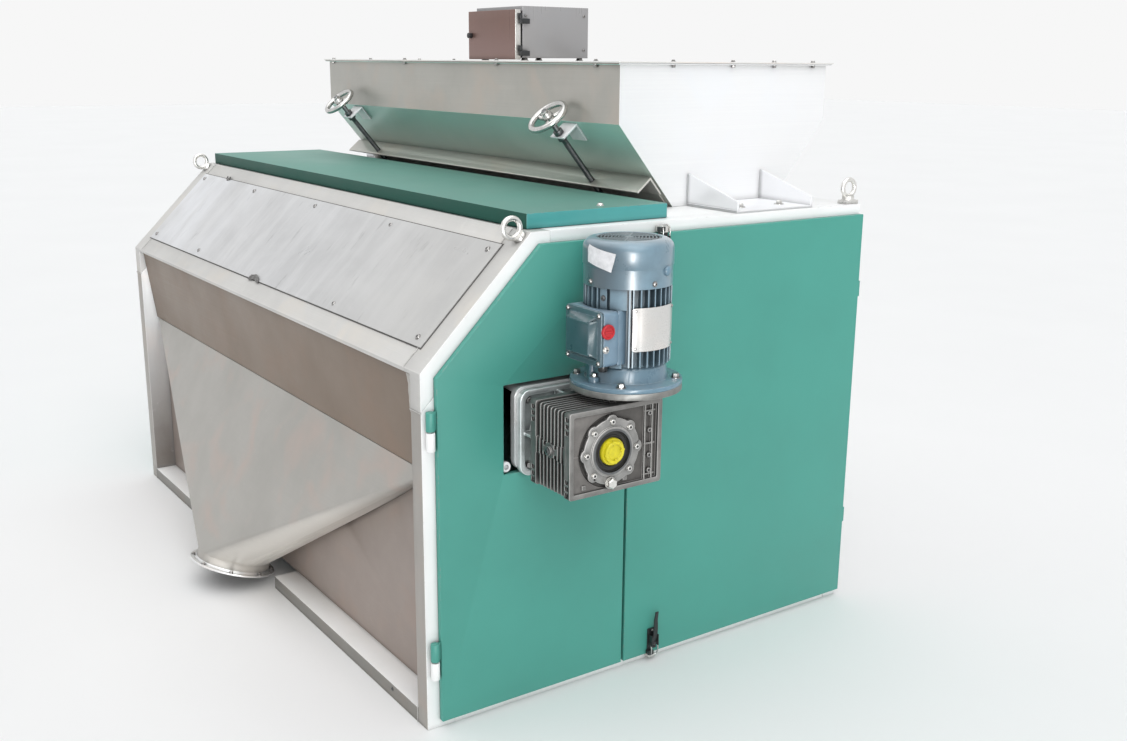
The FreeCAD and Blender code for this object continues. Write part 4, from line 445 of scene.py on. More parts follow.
# Painted shade: a darker copy of the casting for the recess in the outer face.
GEAR_RECESS_SHADE = cast("gear_recess_painted_shade", (0.13, 0.122, 0.115), metal=0.5, edge=1.8)
GEAR_WEB = cast("gear_web_casting", (0.21, 0.198, 0.188), metal=0.6, edge=2.0)
GEAR_SIDE = cast("gear_side_casting", (0.17, 0.17, 0.166), metal=0.6, edge=2.6)
COVER_CASTING = cast("gear_cover_casting", (0.34, 0.335, 0.325), metal=0.7, dirt_and_shade=0.85, edge=1.6)
FLANGE_CASTING = cast("flange_casting", (0.25, 0.25, 0.24), dirt_and_shade=0.75, metal=0.7)
OUTPUT_CASTING = cast("output_flange_casting", (0.54, 0.57, 0.57), dirt_and_shade=0.8, metal=0.6, rough=0.38)
# Painted reflection: a brighter copy for the flange's front faces.
OUTPUT_EDGE_REFLECTION = cast("output_flange_edge_painted_reflection", (0.76, 0.79, 0.79), dirt_and_shade=0.15, metal=0.3, rough=0.34)
MOTOR_ENAMEL = enamel("motor_enamel", (0.16, 0.28, 0.37), front_shade=0.4)
SHIELD_ENAMEL = enamel("shield_enamel", (0.14, 0.25, 0.33), rough=0.26, coat=0.6, shine=0.3)
# The terminal box takes a lighter copy of the motor enamel as painted light; its lid's front takes a dark copy as
# painted shade.
TERMINAL_PAINTED_LIGHT = enamel("terminal_side_painted_light", (0.2, 0.31, 0.41), front_shade=0.5)
FIN_ENAMEL = enamel("fin_enamel", (0.23, 0.355, 0.44), dirt_and_shade=0.99, edge=(0.5, 0.6, 0.65), front_shade=0.35)
TERMINAL_LID_PAINTED_SHADE = enamel("terminal_lid_painted_shade", (0.035, 0.095, 0.115), rough=0.26, front_shade=0.2, edge=(0.2, 0.3, 0.34))
LID_RIM_ENAMEL = enamel("terminal_rim_enamel", (0.08, 0.145, 0.18), rough=0.28, front_shade=0.3)
COWL_ENAMEL = enamel("cowl_enamel", (0.172, 0.285, 0.362), rough=0.27, dirt_and_shade=0.3, coat=1.0, front_shade=0.95, shine=0.3)
GRILLE_ENAMEL = enamel("grille_enamel", (0.22, 0.265, 0.29), rough=0.4, dirt_and_shade=0.8, front_shade=0.1)
CHROME = plated("wheel_chrome", (0.66, 0.655, 0.64), rough=0.14, tarnish=0.65)
PLATE_SILVER = sheet_metal("nameplate_silver", (0.74, 0.73, 0.71), metal=0.75, along=0, rough=0.26, wave=0.1, grain_strength=0.25, smear=0.5, drift=0.25, hollow_shade=0.3, scuffs=0.5)
ZINC = plated("bright_zinc", (0.8, 0.79, 0.76), rough=0.2, tarnish=0.35)
SCREW_STEEL = plated("screw_steel", (0.4, 0.39, 0.38), rough=0.24, tarnish=0.45)
DARK_STEEL = plated("dark_steel", (0.19, 0.195, 0.2), rough=0.28, tarnish=0.5)
LATCH_BLACK = moulded("latch_black", (0.02, 0.022, 0.024), rough=0.3)
SEAL_RUBBER = moulded("seal_rubber", (0.02, 0.019, 0.018), rough=0.42)
SEAM_GREY = moulded("seam_sealant", (0.09, 0.085, 0.08), rough=0.5)
CARRIER_STEEL = sheet_metal("carrier_steel", (0.64, 0.66, 0.66), metal=0.5, along=2, rough=0.3, hollow_shade=0.25)
# Painted shadow: the black for recesses, socket holes, slots and pockets.
SHADOW = moulded("recess_painted_shadow", (0.012, 0.012, 0.013), rough=0.6)
CAP_YELLOW = moulded("cap_yellow", (0.8, 0.7, 0.02), rough=0.3, gloss=0.5)
PLUG_RED = moulded("plug_red", (0.62, 0.02, 0.03), rough=0.32)
PAPER_WHITE = moulded("sticker_white", (0.8, 0.8, 0.82), rough=0.35, grain=0.5)
CURLED_FILM = moulded("curled_film", (0.12, 0.115, 0.11), rough=0.25)


def floor_finish():
    """Plain pale floor with the faintest cloudiness."""
    f = Finish("studio_floor", gloss=0.2)
    return f.done(f.blend(f.noise(900, detail=3), (0.86, 0.86, 0.86), (0.9, 0.9, 0.9)), 0.8)


def make_floor():
    shape = bmesh.new()
    bmesh.ops.create_grid(shape, x_segments=8, y_segments=8, size=30)
    mesh = bpy.data.meshes.new("studio_floor")
    shape.to_mesh(mesh)
    shape.free()
    floor = bpy.data.objects.new("studio_floor", mesh)
    mesh.materials.append(floor_finish())
    bpy.context.scene.collection.objects.link(floor)


make_floor()


def set_world():
    """Even light from all round; the camera and reflections see it as a pale wall."""
    world = bpy.data.worlds.new("studio")
    bpy.context.scene.world = world
    world.use_nodes = True
    tree = world.node_tree
    tree.nodes.clear()
    path = tree.nodes.new("ShaderNodeLightPath")
    seen = tree.nodes.new("ShaderNodeMath")
    seen.operation = "MAXIMUM"
    tree.links.new(path.outputs["Is Camera Ray"], seen.inputs[0])
    tree.links.new(path.outputs["Is Transmission Ray"], seen.inputs[1])
    also = tree.nodes.new("ShaderNodeMath")
    also.operation = "MAXIMUM"
    tree.links.new(seen.outputs[0], also.inputs[0])
    tree.links.new(path.outputs["Is Glossy Ray"], also.inputs[1])
    fill = tree.nodes.new("ShaderNodeBackground")
    fill.inputs["Color"].default_value = (0.95, 0.98, 1.0, 1.0)
    fill.inputs["Strength"].default_value = 0.4
    wall = tree.nodes.new("ShaderNodeBackground")
    wall.inputs["Color"].default_value = (0.93, 0.93, 0.93, 1.0)
    wall.inputs["Strength"].default_value = 1.0
    mix = tree.nodes.new("ShaderNodeMixShader")
    tree.links.new(also.outputs[0], mix.inputs[0])
    tree.links.new(fill.outputs[0], mix.inputs[1])
    tree.links.new(wall.outputs[0], mix.inputs[2])
    output = tree.nodes.new("ShaderNodeOutputWorld")
    tree.links.new(mix.outputs[0], output.inputs["Surface"])


set_world()


# ---------------------------------------------------------------- ways of making shapes


def place_piece(name, mesh, body, node=None):
    """Puts a finished mesh in the scene, lets it ride on a body and, for a CAD node's twin, hides that node."""
    mesh.name = name
    piece = bpy.data.objects.new(name, mesh)
    bpy.context.scene.collection.objects.link(piece)
    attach(piece, body)
    if node:
        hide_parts(node)
    return piece


def evaluated_mesh(holder):
    """The mesh that an object's modifiers give; the object itself goes away."""
    graph = bpy.context.evaluated_depsgraph_get()
    result = bpy.data.meshes.new_from_object(holder.evaluated_get(graph))
    bpy.data.objects.remove(holder)
    return result


def linked(name, mesh):
    holder = bpy.data.objects.new(name, mesh)
    bpy.context.scene.collection.objects.link(holder)
    return holder


def soften(mesh, finishes, radius, angle=30, segments=2, split=None):
    """Rounds the sharp edges of a mesh and marks the rounded faces in a rounded_edges attribute. split picks a finish
    by face.
    """
    mesh.materials.clear()
    mesh.materials.append(finishes[0])
    mesh.materials.append(finishes[0])
    for face in mesh.polygons:
        face.material_index = 0
        face.use_smooth = True
    holder = linked("soften", mesh)
    if radius:
        bevel = holder.modifiers.new("edges", "BEVEL")
        bevel.width = radius / 1000
        bevel.segments = segments
        bevel.limit_method = "ANGLE"
        bevel.angle_limit = math.radians(angle)
        bevel.use_clamp_overlap = False
        bevel.miter_outer = "MITER_ARC"
        bevel.harden_normals = True
        bevel.material = 1
    result = evaluated_mesh(holder)
    rounded_edges = result.attributes.new("rounded_edges", "FLOAT", "FACE")
    rounded_edges.data.foreach_set("value", [float(face.material_index == 1) for face in result.polygons])
    result.materials.clear()
    for finish in finishes:
        result.materials.append(finish)
    for face in result.polygons:
        face.material_index = split(face) if split else 0
    if not radius:
        result.set_sharp_from_angle(angle=math.radians(angle))
    return result


def node_copy(node):
    """A CAD node's mesh with its loose triangles joined and its flat faces made whole."""
    shape = bmesh.new()
    shape.from_mesh(frame["nodes"][node].data)
    bmesh.ops.remove_doubles(shape, verts=shape.verts, dist=0.00002)
    bmesh.ops.dissolve_limit(shape, angle_limit=math.radians(0.6), verts=shape.verts, edges=shape.edges)
    mesh = bpy.data.meshes.new(node)
    shape.to_mesh(mesh)
    shape.free()
    return mesh


def dress(node, finishes, radius=0.8, angle=30, split=None, carve=None):
    """A CAD node with its edges rounded and its real finish; carve cuts pockets first."""
    mesh = node_copy(node)
    if carve:
        tool = linked("carving", carve)
        holder = linked("carved", mesh)
        cut = holder.modifiers.new("pockets", "BOOLEAN")
        cut.object = tool
        cut.solver = "EXACT"
        mesh = evaluated_mesh(holder)
        bpy.data.objects.remove(tool)
    mesh = soften(mesh, finishes, radius, angle, split=split)
    return place_piece(node + "_finished", mesh, BODY_OF[node], node)


def from_bmesh(shape, name):
    bmesh.ops.recalc_face_normals(shape, faces=shape.faces)
    mesh = bpy.data.meshes.new(name)
    shape.to_mesh(mesh)
    shape.free()
    return mesh


def lathe(name, base, axis, profile, steps=64, closed=False):
    """A solid turned about an axis; the profile gives radius and height in millimetres from end to end."""
    up = Vector(axis).normalized()
    across = up.orthogonal().normalized()
    other = up.cross(across)
    shape = bmesh.new()
    rings = []
    for radius, height in profile:
        centre = base + up * (height / 1000)
        if radius < 0.01:
            rings.append([shape.verts.new(centre)] * steps)
            continue
        turns = [2 * math.pi * step / steps for step in range(steps)]
        rings.append([shape.verts.new(centre + (across * math.cos(t) + other * math.sin(t)) * (radius / 1000)) for t in turns])
    pairs = list(zip(rings, rings[1:]))
    if closed:
        pairs.append((rings[-1], rings[0]))
    for low, high in pairs:
        for step in range(steps):
            after = (step + 1) % steps
            corners = list(dict.fromkeys((low[step], low[after], high[after], high[step])))
            if len(corners) > 2:
                shape.faces.new(corners)
    return from_bmesh(shape, name)


def box_shape(low, high, axes=None):
    """A box between two corners in millimetres, on the machine's axes or on a sloping face."""
    corners = [(x, y, z) for x in (low[0], high[0]) for y in (low[1], high[1]) for z in (low[2], high[2])]
    shape = bmesh.new()
    points = [shape.verts.new(on_face(axes, *corner) if axes else spot(*corner)) for corner in corners]
    for face in ((0, 1, 3, 2), (4, 6, 7, 5), (0, 4, 5, 1), (2, 3, 7, 6), (0, 2, 6, 4), (1, 5, 7, 3)):
        shape.faces.new([points[index] for index in face])
    return from_bmesh(shape, "box")


def thin_solid(name, columns, rows, face, back):
    """A closed thin solid; face and back give the points of its two sides for shares of its length and width."""
    shape = bmesh.new()
    sides = []
    for side in (face, back):
        sides.append([[shape.verts.new(side(i / columns, j / rows)) for j in range(rows + 1)] for i in range(columns + 1)])
    front, rear = sides
    for i in range(columns):
        for j in range(rows):
            shape.faces.new((front[i][j], front[i + 1][j], front[i + 1][j + 1], front[i][j + 1]))
            shape.faces.new((rear[i][j], rear[i][j + 1], rear[i + 1][j + 1], rear[i + 1][j]))
    rim = [(i, 0) for i in range(columns)] + [(columns, j) for j in range(rows)]
    rim += [(i, rows) for i in range(columns, 0, -1)] + [(0, j) for j in range(rows, 0, -1)]
    for (i, j), (k, l) in zip(rim, rim[1:] + rim[:1]):
        shape.faces.new((front[i][j], rear[i][j], rear[k][l], front[k][l]))
    return from_bmesh(shape, name)


def tube(name, points, radius, sides=10):
    """Round wire along a smooth line through points."""
    curve = bpy.data.curves.new(name, "CURVE")
    curve.dimensions = "3D"
    line = curve.splines.new("NURBS")
    line.points.add(len(points) - 1)
    for place, point in zip(line.points, points):
        place.co = (*point, 1)
    line.order_u = min(4, len(points))
    line.use_endpoint_u = True
    line.resolution_u = 8
    curve.bevel_depth = radius / 1000
    curve.bevel_resolution = max(1, sides // 4)
    curve.use_fill_caps = True
    holder = linked(name, curve)
    mesh = evaluated_mesh(holder)
    return mesh


def combined(name, meshes):
    """Several meshes of the same finishes as one."""
    shape = bmesh.new()
    for mesh in meshes:
        shape.from_mesh(mesh)
    mesh = bpy.data.meshes.new(name)
    shape.to_mesh(mesh)
    shape.free()
    return mesh


def finished(name, mesh, finish, body, radius=0.0, angle=35, node=None, segments=2):
    return place_piece(name, soften(mesh, [finish], radius, angle, segments), body, node)


# ---------------------------------------------------------------- patterns that repeat a shape


class Pattern:
    """A geometry-node tree while it is being put together; its named inputs are sizes in millimetres."""

    def __init__(self, name, sizes=(), counts=(), finishes=("Finish",)):
        self.tree = bpy.data.node_groups.new(name, "GeometryNodeTree")
        face = self.tree.interface
        sockets = [("Places", "Geometry")] + [(label, "Float") for label in sizes]
        sockets += [(label, "Int") for label in counts] + [(label, "Material") for label in finishes]
        self.keys = {}
        for label, kind in sockets:
            self.keys[label] = face.new_socket(label, in_out="INPUT", socket_type="NodeSocket" + kind).identifier
        face.new_socket("Result", in_out="OUTPUT", socket_type="NodeSocketGeometry")
        self.given = self.tree.nodes.new("NodeGroupInput").outputs
        self.output = self.tree.nodes.new("NodeGroupOutput")

    def add(self, kind, feeds=None, give=0, **settings):
        """Adds a node, feeds its sockets and returns one of its outputs."""
        node = self.tree.nodes.new(kind)
        for key, value in settings.items():
            setattr(node, key, value)
        for key, value in (feeds or {}).items():
            for source in value if isinstance(value, list) else [value]:
                if hasattr(source, "is_output"):
                    self.tree.links.new(source, node.inputs[key])
                else:
                    node.inputs[key].default_value = source
        return node.outputs[give]

    def calc(self, work, first, second):
        return self.add("ShaderNodeMath", {0: first, 1: second}, operation=work)

    def metres(self, label):
        return self.calc("MULTIPLY", self.given[label], 0.001)

    def vector(self, x, y, z):
        return self.add("ShaderNodeCombineXYZ", {0: x, 1: y, 2: z})

    def moved(self, shape, x=0.0, y=0.0, z=0.0):
        return self.add("GeometryNodeTransform", {"Geometry": shape, "Translation": self.vector(x, y, z)})

    def cone(self, sides, low, high, depth, at=0.0):
        shape = self.add("GeometryNodeMeshCone", {"Vertices": sides, "Radius Bottom": low, "Radius Top": high, "Depth": depth})
        return self.moved(shape, z=at)

    def marked(self, shape, name):
        return self.add("GeometryNodeStoreNamedAttribute", {"Geometry": shape, "Name": name, "Value": True},
                        data_type="BOOLEAN", domain="FACE")

    def named(self, name, kind="FLOAT"):
        return self.add("GeometryNodeInputNamedAttribute", {"Name": name}, data_type=kind)

    def join(self, *shapes):
        return self.add("GeometryNodeJoinGeometry", {"Geometry": list(reversed(shapes))})

    def stand(self, shape, axis="Z", pivot="AUTO", scale=None):
        """Sets the shape on every place, its axis along the place's own direction."""
        points = self.add("GeometryNodeMeshToPoints", {"Mesh": self.given["Places"]})
        facing = self.add("FunctionNodeAlignRotationToVector", {"Vector": self.named("toward", "FLOAT_VECTOR")}, axis=axis, pivot_axis=pivot)
        turn = self.add("FunctionNodeEulerToRotation", {"Euler": self.vector(0.0, 0.0, self.named("turn"))})
        facing = self.add("FunctionNodeRotateRotation", {"Rotation": facing, "Rotate By": turn}, rotation_space="LOCAL")
        feeds = {"Points": points, "Instance": shape, "Rotation": facing}
        if scale is not None:
            feeds["Scale"] = scale
        return self.add("GeometryNodeInstanceOnPoints", feeds)

    def close(self, shape, recess=False):
        """Ends the tree: real geometry with its finishes."""
        shape = self.add("GeometryNodeRealizeInstances", {"Geometry": shape})
        shape = self.add("GeometryNodeSetMaterial", {"Geometry": shape, "Material": self.given["Finish"]})
        if recess:
            shape = self.add("GeometryNodeSetMaterial", {"Geometry": shape, "Selection": self.named("recess", "BOOLEAN"),
                                                         "Material": self.given["Recess finish"]})
        self.tree.links.new(shape, self.output.inputs[0])
        return self


def places_mesh(places, spans=None):
    """One vertex for each place, with its direction, its own turn and its length."""
    mesh = bpy.data.meshes.new("places")
    mesh.from_pydata([tuple(point) for point, _ in places], [], [])
    mesh.attributes.new("toward", "FLOAT_VECTOR", "POINT").data.foreach_set("vector", [part for _, way in places for part in way])
    turns = [0.0] * len(places) if spans else [(0.83 * index) % 6.28 for index in range(len(places))]
    mesh.attributes.new("turn", "FLOAT", "POINT").data.foreach_set("value", turns)
    mesh.attributes.new("span", "FLOAT", "POINT").data.foreach_set("value", [span / 1000 for span in spans] if spans else [1.0] * len(places))
    return mesh


def grown(pattern, mesh, inputs):
    """The plain mesh that a pattern gives on a mesh of places."""
    holder = linked("grown", mesh)
    modifier = holder.modifiers.new("pattern", "NODES")
    modifier.node_group = pattern.tree
    for label, value in inputs.items():
        modifier[pattern.keys[label]] = value
    result = evaluated_mesh(holder)
    result.shade_smooth()
    result.set_sharp_from_angle(angle=math.radians(32))
    return result


HEAD_SIZES = ("Head width", "Head height", "Washer width", "Washer thickness")


def head_pattern(kind):
    """Heads of screws: hexagon with a washer, round with a cross slot, round with a hexagon socket, or a plain rivet."""
    p = Pattern(kind + "_heads", HEAD_SIZES, finishes=("Finish", "Recess finish"))
    radius = p.calc("MULTIPLY", p.metres("Head width"), 0.5)
    height = p.metres("Head height")
    washer = p.calc("MULTIPLY", p.metres("Washer width"), 0.5)
    seat = p.metres("Washer thickness")

    def share(value, part):
        return p.calc("MULTIPLY", value, part)

    def level(part):
        return p.calc("ADD", seat, share(height, part))

    shapes = [p.cone(24, washer, share(washer, 0.97), seat)]
    if kind == "hexagon":
        shapes += [p.cone(6, radius, radius, share(height, 0.76), seat),
                   p.cone(6, radius, share(radius, 0.84), share(height, 0.24), level(0.76))]
    elif kind == "socket":
        shapes += [p.cone(20, radius, radius, share(height, 0.84), seat),
                   p.cone(20, radius, share(radius, 0.88), share(height, 0.16), level(0.84)),
                   # The socket is a thin dark disc: painted shadow.
                   p.marked(p.cone(6, share(radius, 0.56), share(radius, 0.56), share(height, 0.02), level(1.0)), "recess")]
    else:
        for low, high, start, end in ((1.0, 0.97, 0.0, 0.3), (0.97, 0.82, 0.3, 0.66), (0.82, 0.56, 0.66, 0.9), (0.56, 0.24, 0.9, 1.0)):
            shapes.append(p.cone(18, share(radius, low), share(radius, high), share(height, end - start), level(start)))
        if kind == "cross":
            # The cross slot is two thin dark bars: painted shadow.
            for long, wide in ((1.0, 0.22), (0.22, 1.0)):
                size = p.vector(share(radius, long), share(radius, wide), share(height, 0.3))
                shapes.append(p.marked(p.moved(p.add("GeometryNodeMeshCube", {"Size": size}), z=level(0.9)), "recess"))
    return p.close(p.stand(p.join(*shapes)), recess=True)


HEADS = {kind: head_pattern(kind) for kind in ("hexagon", "cross", "socket", "rivet")}


def fasten(name, kind, places, body, width, height, washer=0.0, seat=0.0, finish=SCREW_STEEL):
    """Screws or rivets on one body, each given by its place and the direction it faces."""
    inputs = {"Head width": width, "Head height": height, "Washer width": washer or width * 0.9,
              "Washer thickness": seat or 0.1, "Finish": finish, "Recess finish": SHADOW}
    mesh = grown(HEADS[kind], places_mesh(places), inputs)
    return place_piece(name, mesh, body)


UP, DOWN = Vector((0, 0, 1)), Vector((0, 0, -1))
RIGHT, LEFT = Vector((1, 0, 0)), Vector((-1, 0, 0))
FRONT, BACK = Vector((0, -1, 0)), Vector((0, 1, 0))


def fin_pattern():
    """Tapered fins set round an axis, each with its own length."""
    p = Pattern("tapered_fins", ("Root", "Reach", "Thickness", "Tip thickness"))
    reach = p.metres("Reach")
    cube = p.add("GeometryNodeMeshCube", {"Size": p.vector(p.metres("Thickness"), reach, 1.0)})
    split = p.add("ShaderNodeSeparateXYZ", {0: p.add("GeometryNodeInputPosition")}, give=1)
    outer = p.add("FunctionNodeCompare", {0: split, 1: 0.0}, data_type="FLOAT", operation="GREATER_THAN")
    narrow = p.add("ShaderNodeVectorMath", {0: p.add("GeometryNodeInputPosition"),
                                            1: p.vector(p.calc("DIVIDE", p.given["Tip thickness"], p.given["Thickness"]), 1.0, 1.0)},
                   operation="MULTIPLY")
    fin = p.add("GeometryNodeSetPosition", {"Geometry": cube, "Selection": outer, "Position": narrow})
    fin = p.moved(fin, y=p.calc("ADD", p.metres("Root"), p.calc("MULTIPLY", reach, 0.5)), z=0.5)
    return p.close(p.stand(fin, "Y", "Z", p.vector(1.0, 1.0, p.named("span"))))


def ring_pattern():
    """Round wires about one axis, each as wide as its place says."""
    p = Pattern("round_wires", ("Wire",), ("Steps",))
    circle = p.add("GeometryNodeCurvePrimitiveCircle", {"Resolution": p.given["Steps"], "Radius": 1.0})
    wide = p.named("span")
    circles = p.add("GeometryNodeRealizeInstances", {"Geometry": p.stand(circle, scale=p.vector(wide, wide, 1.0))})
    section = p.add("GeometryNodeCurvePrimitiveCircle", {"Resolution": 6, "Radius": p.calc("MULTIPLY", p.metres("Wire"), 0.5)})
    wires = p.add("GeometryNodeCurveToMesh", {"Curve": circles, "Profile Curve": section})
    return p.close(wires)


def bead_pattern():
    """A weld: flattened overlapping drops along the edges of the mesh of places."""
    p = Pattern("weld_beads", ("Width", "Pitch"))
    line = p.add("GeometryNodeMeshToCurve", {"Mesh": p.given["Places"]})
    line = p.add("GeometryNodeResampleCurve", {"Curve": line, "Length": p.metres("Pitch")}, mode="LENGTH")
    drop = p.add("GeometryNodeMeshIcoSphere", {"Radius": p.calc("MULTIPLY", p.metres("Width"), 0.5), "Subdivisions": 2})
    uneven = p.add("FunctionNodeRandomValue", {2: 0.82, 3: 1.12, "Seed": 4}, give=1, data_type="FLOAT")
    drops = p.add("GeometryNodeInstanceOnPoints", {"Points": line, "Instance": drop, "Scale": p.vector(uneven, uneven, p.calc("MULTIPLY", uneven, 0.7))})
    return p.close(drops)


FINS, WIRES, BEADS = fin_pattern(), ring_pattern(), bead_pattern()


def weld(name, lines, finish, body="cabinet", width=4.5, pitch=2.6):
    """Weld beads along straight lines, each given by its two ends."""
    mesh = bpy.data.meshes.new("weld_lines")
    points = [tuple(point) for line in lines for point in line]
    mesh.from_pydata(points, [(2 * index, 2 * index + 1) for index in range(len(lines))], [])
    return place_piece(name, grown(BEADS, mesh, {"Width": width, "Pitch": pitch, "Finish": finish}), body)


# ---------------------------------------------------------------- frame and panels


# Front faces take the painted reflection finish.
def front_side(face):
    return 1 if face.normal.y < -0.7 else 0


# Front faces and the posts' inner faces near the front take painted reflection finishes.
def post_side(face):
    if face.normal.y < -0.7:
        return 1
    away = abs(face.center.x * 1000 + MIDDLE_X)
    return 2 if abs(face.normal.x) > 0.7 and away < 812 and face.center.y * 1000 + MIDDLE_Y < 60 else 0


def slope_side(face):
    return 0 if abs(face.normal.x) > 0.9 else 1


# Chooses the lid's painted light and shade copies by face direction.
def lid_side(face):
    if face.normal.z > 0.5:
        return 0
    return 2 if face.normal.y < -0.7 else 1


# The posts' and bottom rails' front faces, and the posts' inner faces, carry painted reflection.
dress("corner_posts", [FRAME_WHITE, FRONT_FACE_REFLECTION, POST_INNER_REFLECTION], 1.5, split=post_side)
dress("side_rails", [FRAME_WHITE], 1.2)
dress("cross_bottom_rails", [FRAME_WHITE, RAIL_FRONT_REFLECTION], 1.2, split=front_side)
dress("slope_rails", [FRAME_WHITE, SLOPE_BEIGE], 1.2, split=slope_side)
dress("slope_cross_bars", [SLOPE_BEIGE], 1.2)
dress("top_plate", [FRAME_WHITE], 1.0)
dress("top_lid", [LID_GREEN, LID_SIDE_PAINTED_LIGHT, LID_FRONT_PAINTED_SHADE], 1.6, split=lid_side)
dress("side_door_front", [DOOR_GREEN], 1.4)
dress("side_door_rear", [DOOR_GREEN], 1.4)
dress("left_side_panel", [DOOR_GREEN], 1.4)
dress("rear_panel", [FRAME_WHITE], 0.8)
dress("hinge_frame_halves", [FRAME_WHITE], 0.8)
dress("front_hinge_door_halves", [DOOR_GREEN], 0.8)
dress("rear_hinge_door_halves", [DOOR_GREEN], 0.8)
dress("front_upper_strip", [STRIP_STEEL_PAINTED_REFLECTION], 0.6)
dress("discharge_chute", [CHUTE_STEEL], 0.0, angle=32)
dress("outlet_flange", [FLANGE_STEEL], 0.6)
dress("front_lower_panel", [LOWER_STEEL], 0.6)
# The inner plate's near black is painted shade; the carrier faces take the lighter steel.
dress("drive_side_plate", [INNER_PLATE_SHADE, CARRIER_STEEL], 0.8,
      split=lambda face: 1 if face.center.x * 1000 + MIDDLE_X > 800 else 0)

# Welds where the frame's bars meet.
frame_welds = []
for side in (-1, 1):
    outer, inner = 845 * side, 808 * side
    frame_welds += [(spot(inner, -0.3, 605), spot(outer, -0.3, 605)), (spot(inner, -0.3, 30), spot(inner, -0.3, 2)),
                    (spot(785 * side, 21, 696.2), spot(785 * side, 29.6, 704.8)),
                    (spot(inner, 1062, 30), spot(inner, 1062, 2))]
    frame_welds += [(on_face(SLOPE, 785 * side, 281.6, 0.1), on_face(SLOPE, 785 * side, 316, 0.1)),
                    (on_face(SLOPE, 785 * side, 2, 0.1), on_face(SLOPE, 785 * side, 41, 0.1))]
weld("frame_welds", frame_welds, SLOPE_BEIGE, width=3.2, pitch=2.0)

# The film-covered sheet on the slope: slightly wavy, its edge tucked under a dark seam line.
PANEL_LOW, PANEL_HIGH, PANEL_HALF = 42, 281.2, 795


def panel_wave(across, along):
    """Height of the wavy film over the sheet, in millimetres; it dies out at the edges."""
    edge = min(1.0, (across + PANEL_HALF) / 26, (PANEL_HALF - across) / 26, (along - PANEL_LOW) / 18, (PANEL_HIGH - along) / 18)
    broad = noise.noise(Vector((across / 210, along / 120, 0.3)))
    folds = abs(noise.noise(Vector((across / 70 + along / 160, along / 210, 2.7))))
    small = noise.noise(Vector((across / 26, along / 34, 7.1)))
    return max(0.0, edge) * (1.5 + 1.2 * broad - 1.6 * folds + 0.25 * small)


def panel_top(u, v):
    across = -PANEL_HALF + 1.5 + u * (2 * PANEL_HALF - 3)
    along = PANEL_LOW + 1.5 + v * (PANEL_HIGH - PANEL_LOW - 3)
    return on_face(SLOPE, across, along, 1.9 + panel_wave(across, along))


def panel_under(u, v):
    across = -PANEL_HALF + 1.5 + u * (2 * PANEL_HALF - 3)
    return on_face(SLOPE, across, PANEL_LOW + 1.5 + v * (PANEL_HIGH - PANEL_LOW - 3), 0.3)


finished("slope_panel_film", thin_solid("slope_panel_film", 190, 36, panel_top, panel_under), FILM, "cabinet",
         angle=60, node="slope_panel")
seam_parts = []
for low, high in (((-PANEL_HALF - 1, PANEL_LOW - 0.8), (PANEL_HALF + 1, PANEL_LOW + 1.2)), ((-PANEL_HALF - 1, PANEL_HIGH - 1.2), (PANEL_HALF + 1, PANEL_HIGH + 0.8)),
                  ((-PANEL_HALF - 1.2, PANEL_LOW - 1), (-PANEL_HALF + 1.2, PANEL_HIGH + 1)), ((PANEL_HALF - 1.2, PANEL_LOW - 1), (PANEL_HALF + 1.2, PANEL_HIGH + 1))):
    seam_parts.append(box_shape((*low, 0.05), (*high, 0.9), SLOPE))
finished("slope_panel_seam", combined("slope_panel_seam", seam_parts), SEAM_GREY, "cabinet", 0.25)
slope_out = (SLOPE.to_3x3() @ Vector((0, 0, 1))).normalized()
screw_rows = [(x, 263) for x in (-765, -383, 0, 383, 765)] + [(x, 60) for x in (-765, -410, 410, 765)]
fasten("slope_panel_screws", "cross", [(on_face(SLOPE, x, s, 2.4), slope_out) for x, s in screw_rows], "cabinet", 10, 3,
       washer=13, seat=0.6)


def loose_tab(name, across, along, width, height, seed, lift=5.0):
    """A torn bit of film that has curled up out of the seam."""
    def top(u, v):
        ridge = 0.35 + 0.65 * abs(noise.noise(Vector((u * 3.1 + seed, v * 2.2, seed))))
        return on_face(SLOPE, across + (u - 0.5) * width * (1 - 0.25 * v), along + (v - 0.5) * height + 2.5 * math.sin(u * 7 + seed),
                       2.6 + lift * v * ridge + 1.2 * math.sin(u * 9 + seed) ** 2)

    def under(u, v):
        return top(u, v) - slope_out * 0.0005

    return thin_solid(name, 16, 6, top, under)


finished("film_tabs", combined("film_tabs", [loose_tab("tab", -603, 280, 34, 9, 1.3), loose_tab("tab", 2, 47, 62, 13, 4.2, 6.0)]),
         CURLED_FILM, "cabinet", angle=60)


def strip_film(u, v):
    """Crumpled film that hangs from the seam at the right end of the upper strip."""
    x = 782 + 24 * u + 4 * math.sin(v * 5.0) * (1 - u)
    z = 664 - 92 * v * (0.75 + 0.25 * u)
    y = 10 + (668 - z) * 0.137 - 3.5 - 5.0 * abs(noise.noise(Vector((u * 4.3, v * 3.1, 5.0)))) - 2.2 * math.sin(u * 6 + v * 3) ** 2
    return spot(x, y, z)


finished("strip_film", thin_solid("strip_film", 22, 30, strip_film, lambda u, v: strip_film(u, v) + Vector((0, 0.0006, 0))),
         LOOSE_FILM, "cabinet", angle=60)

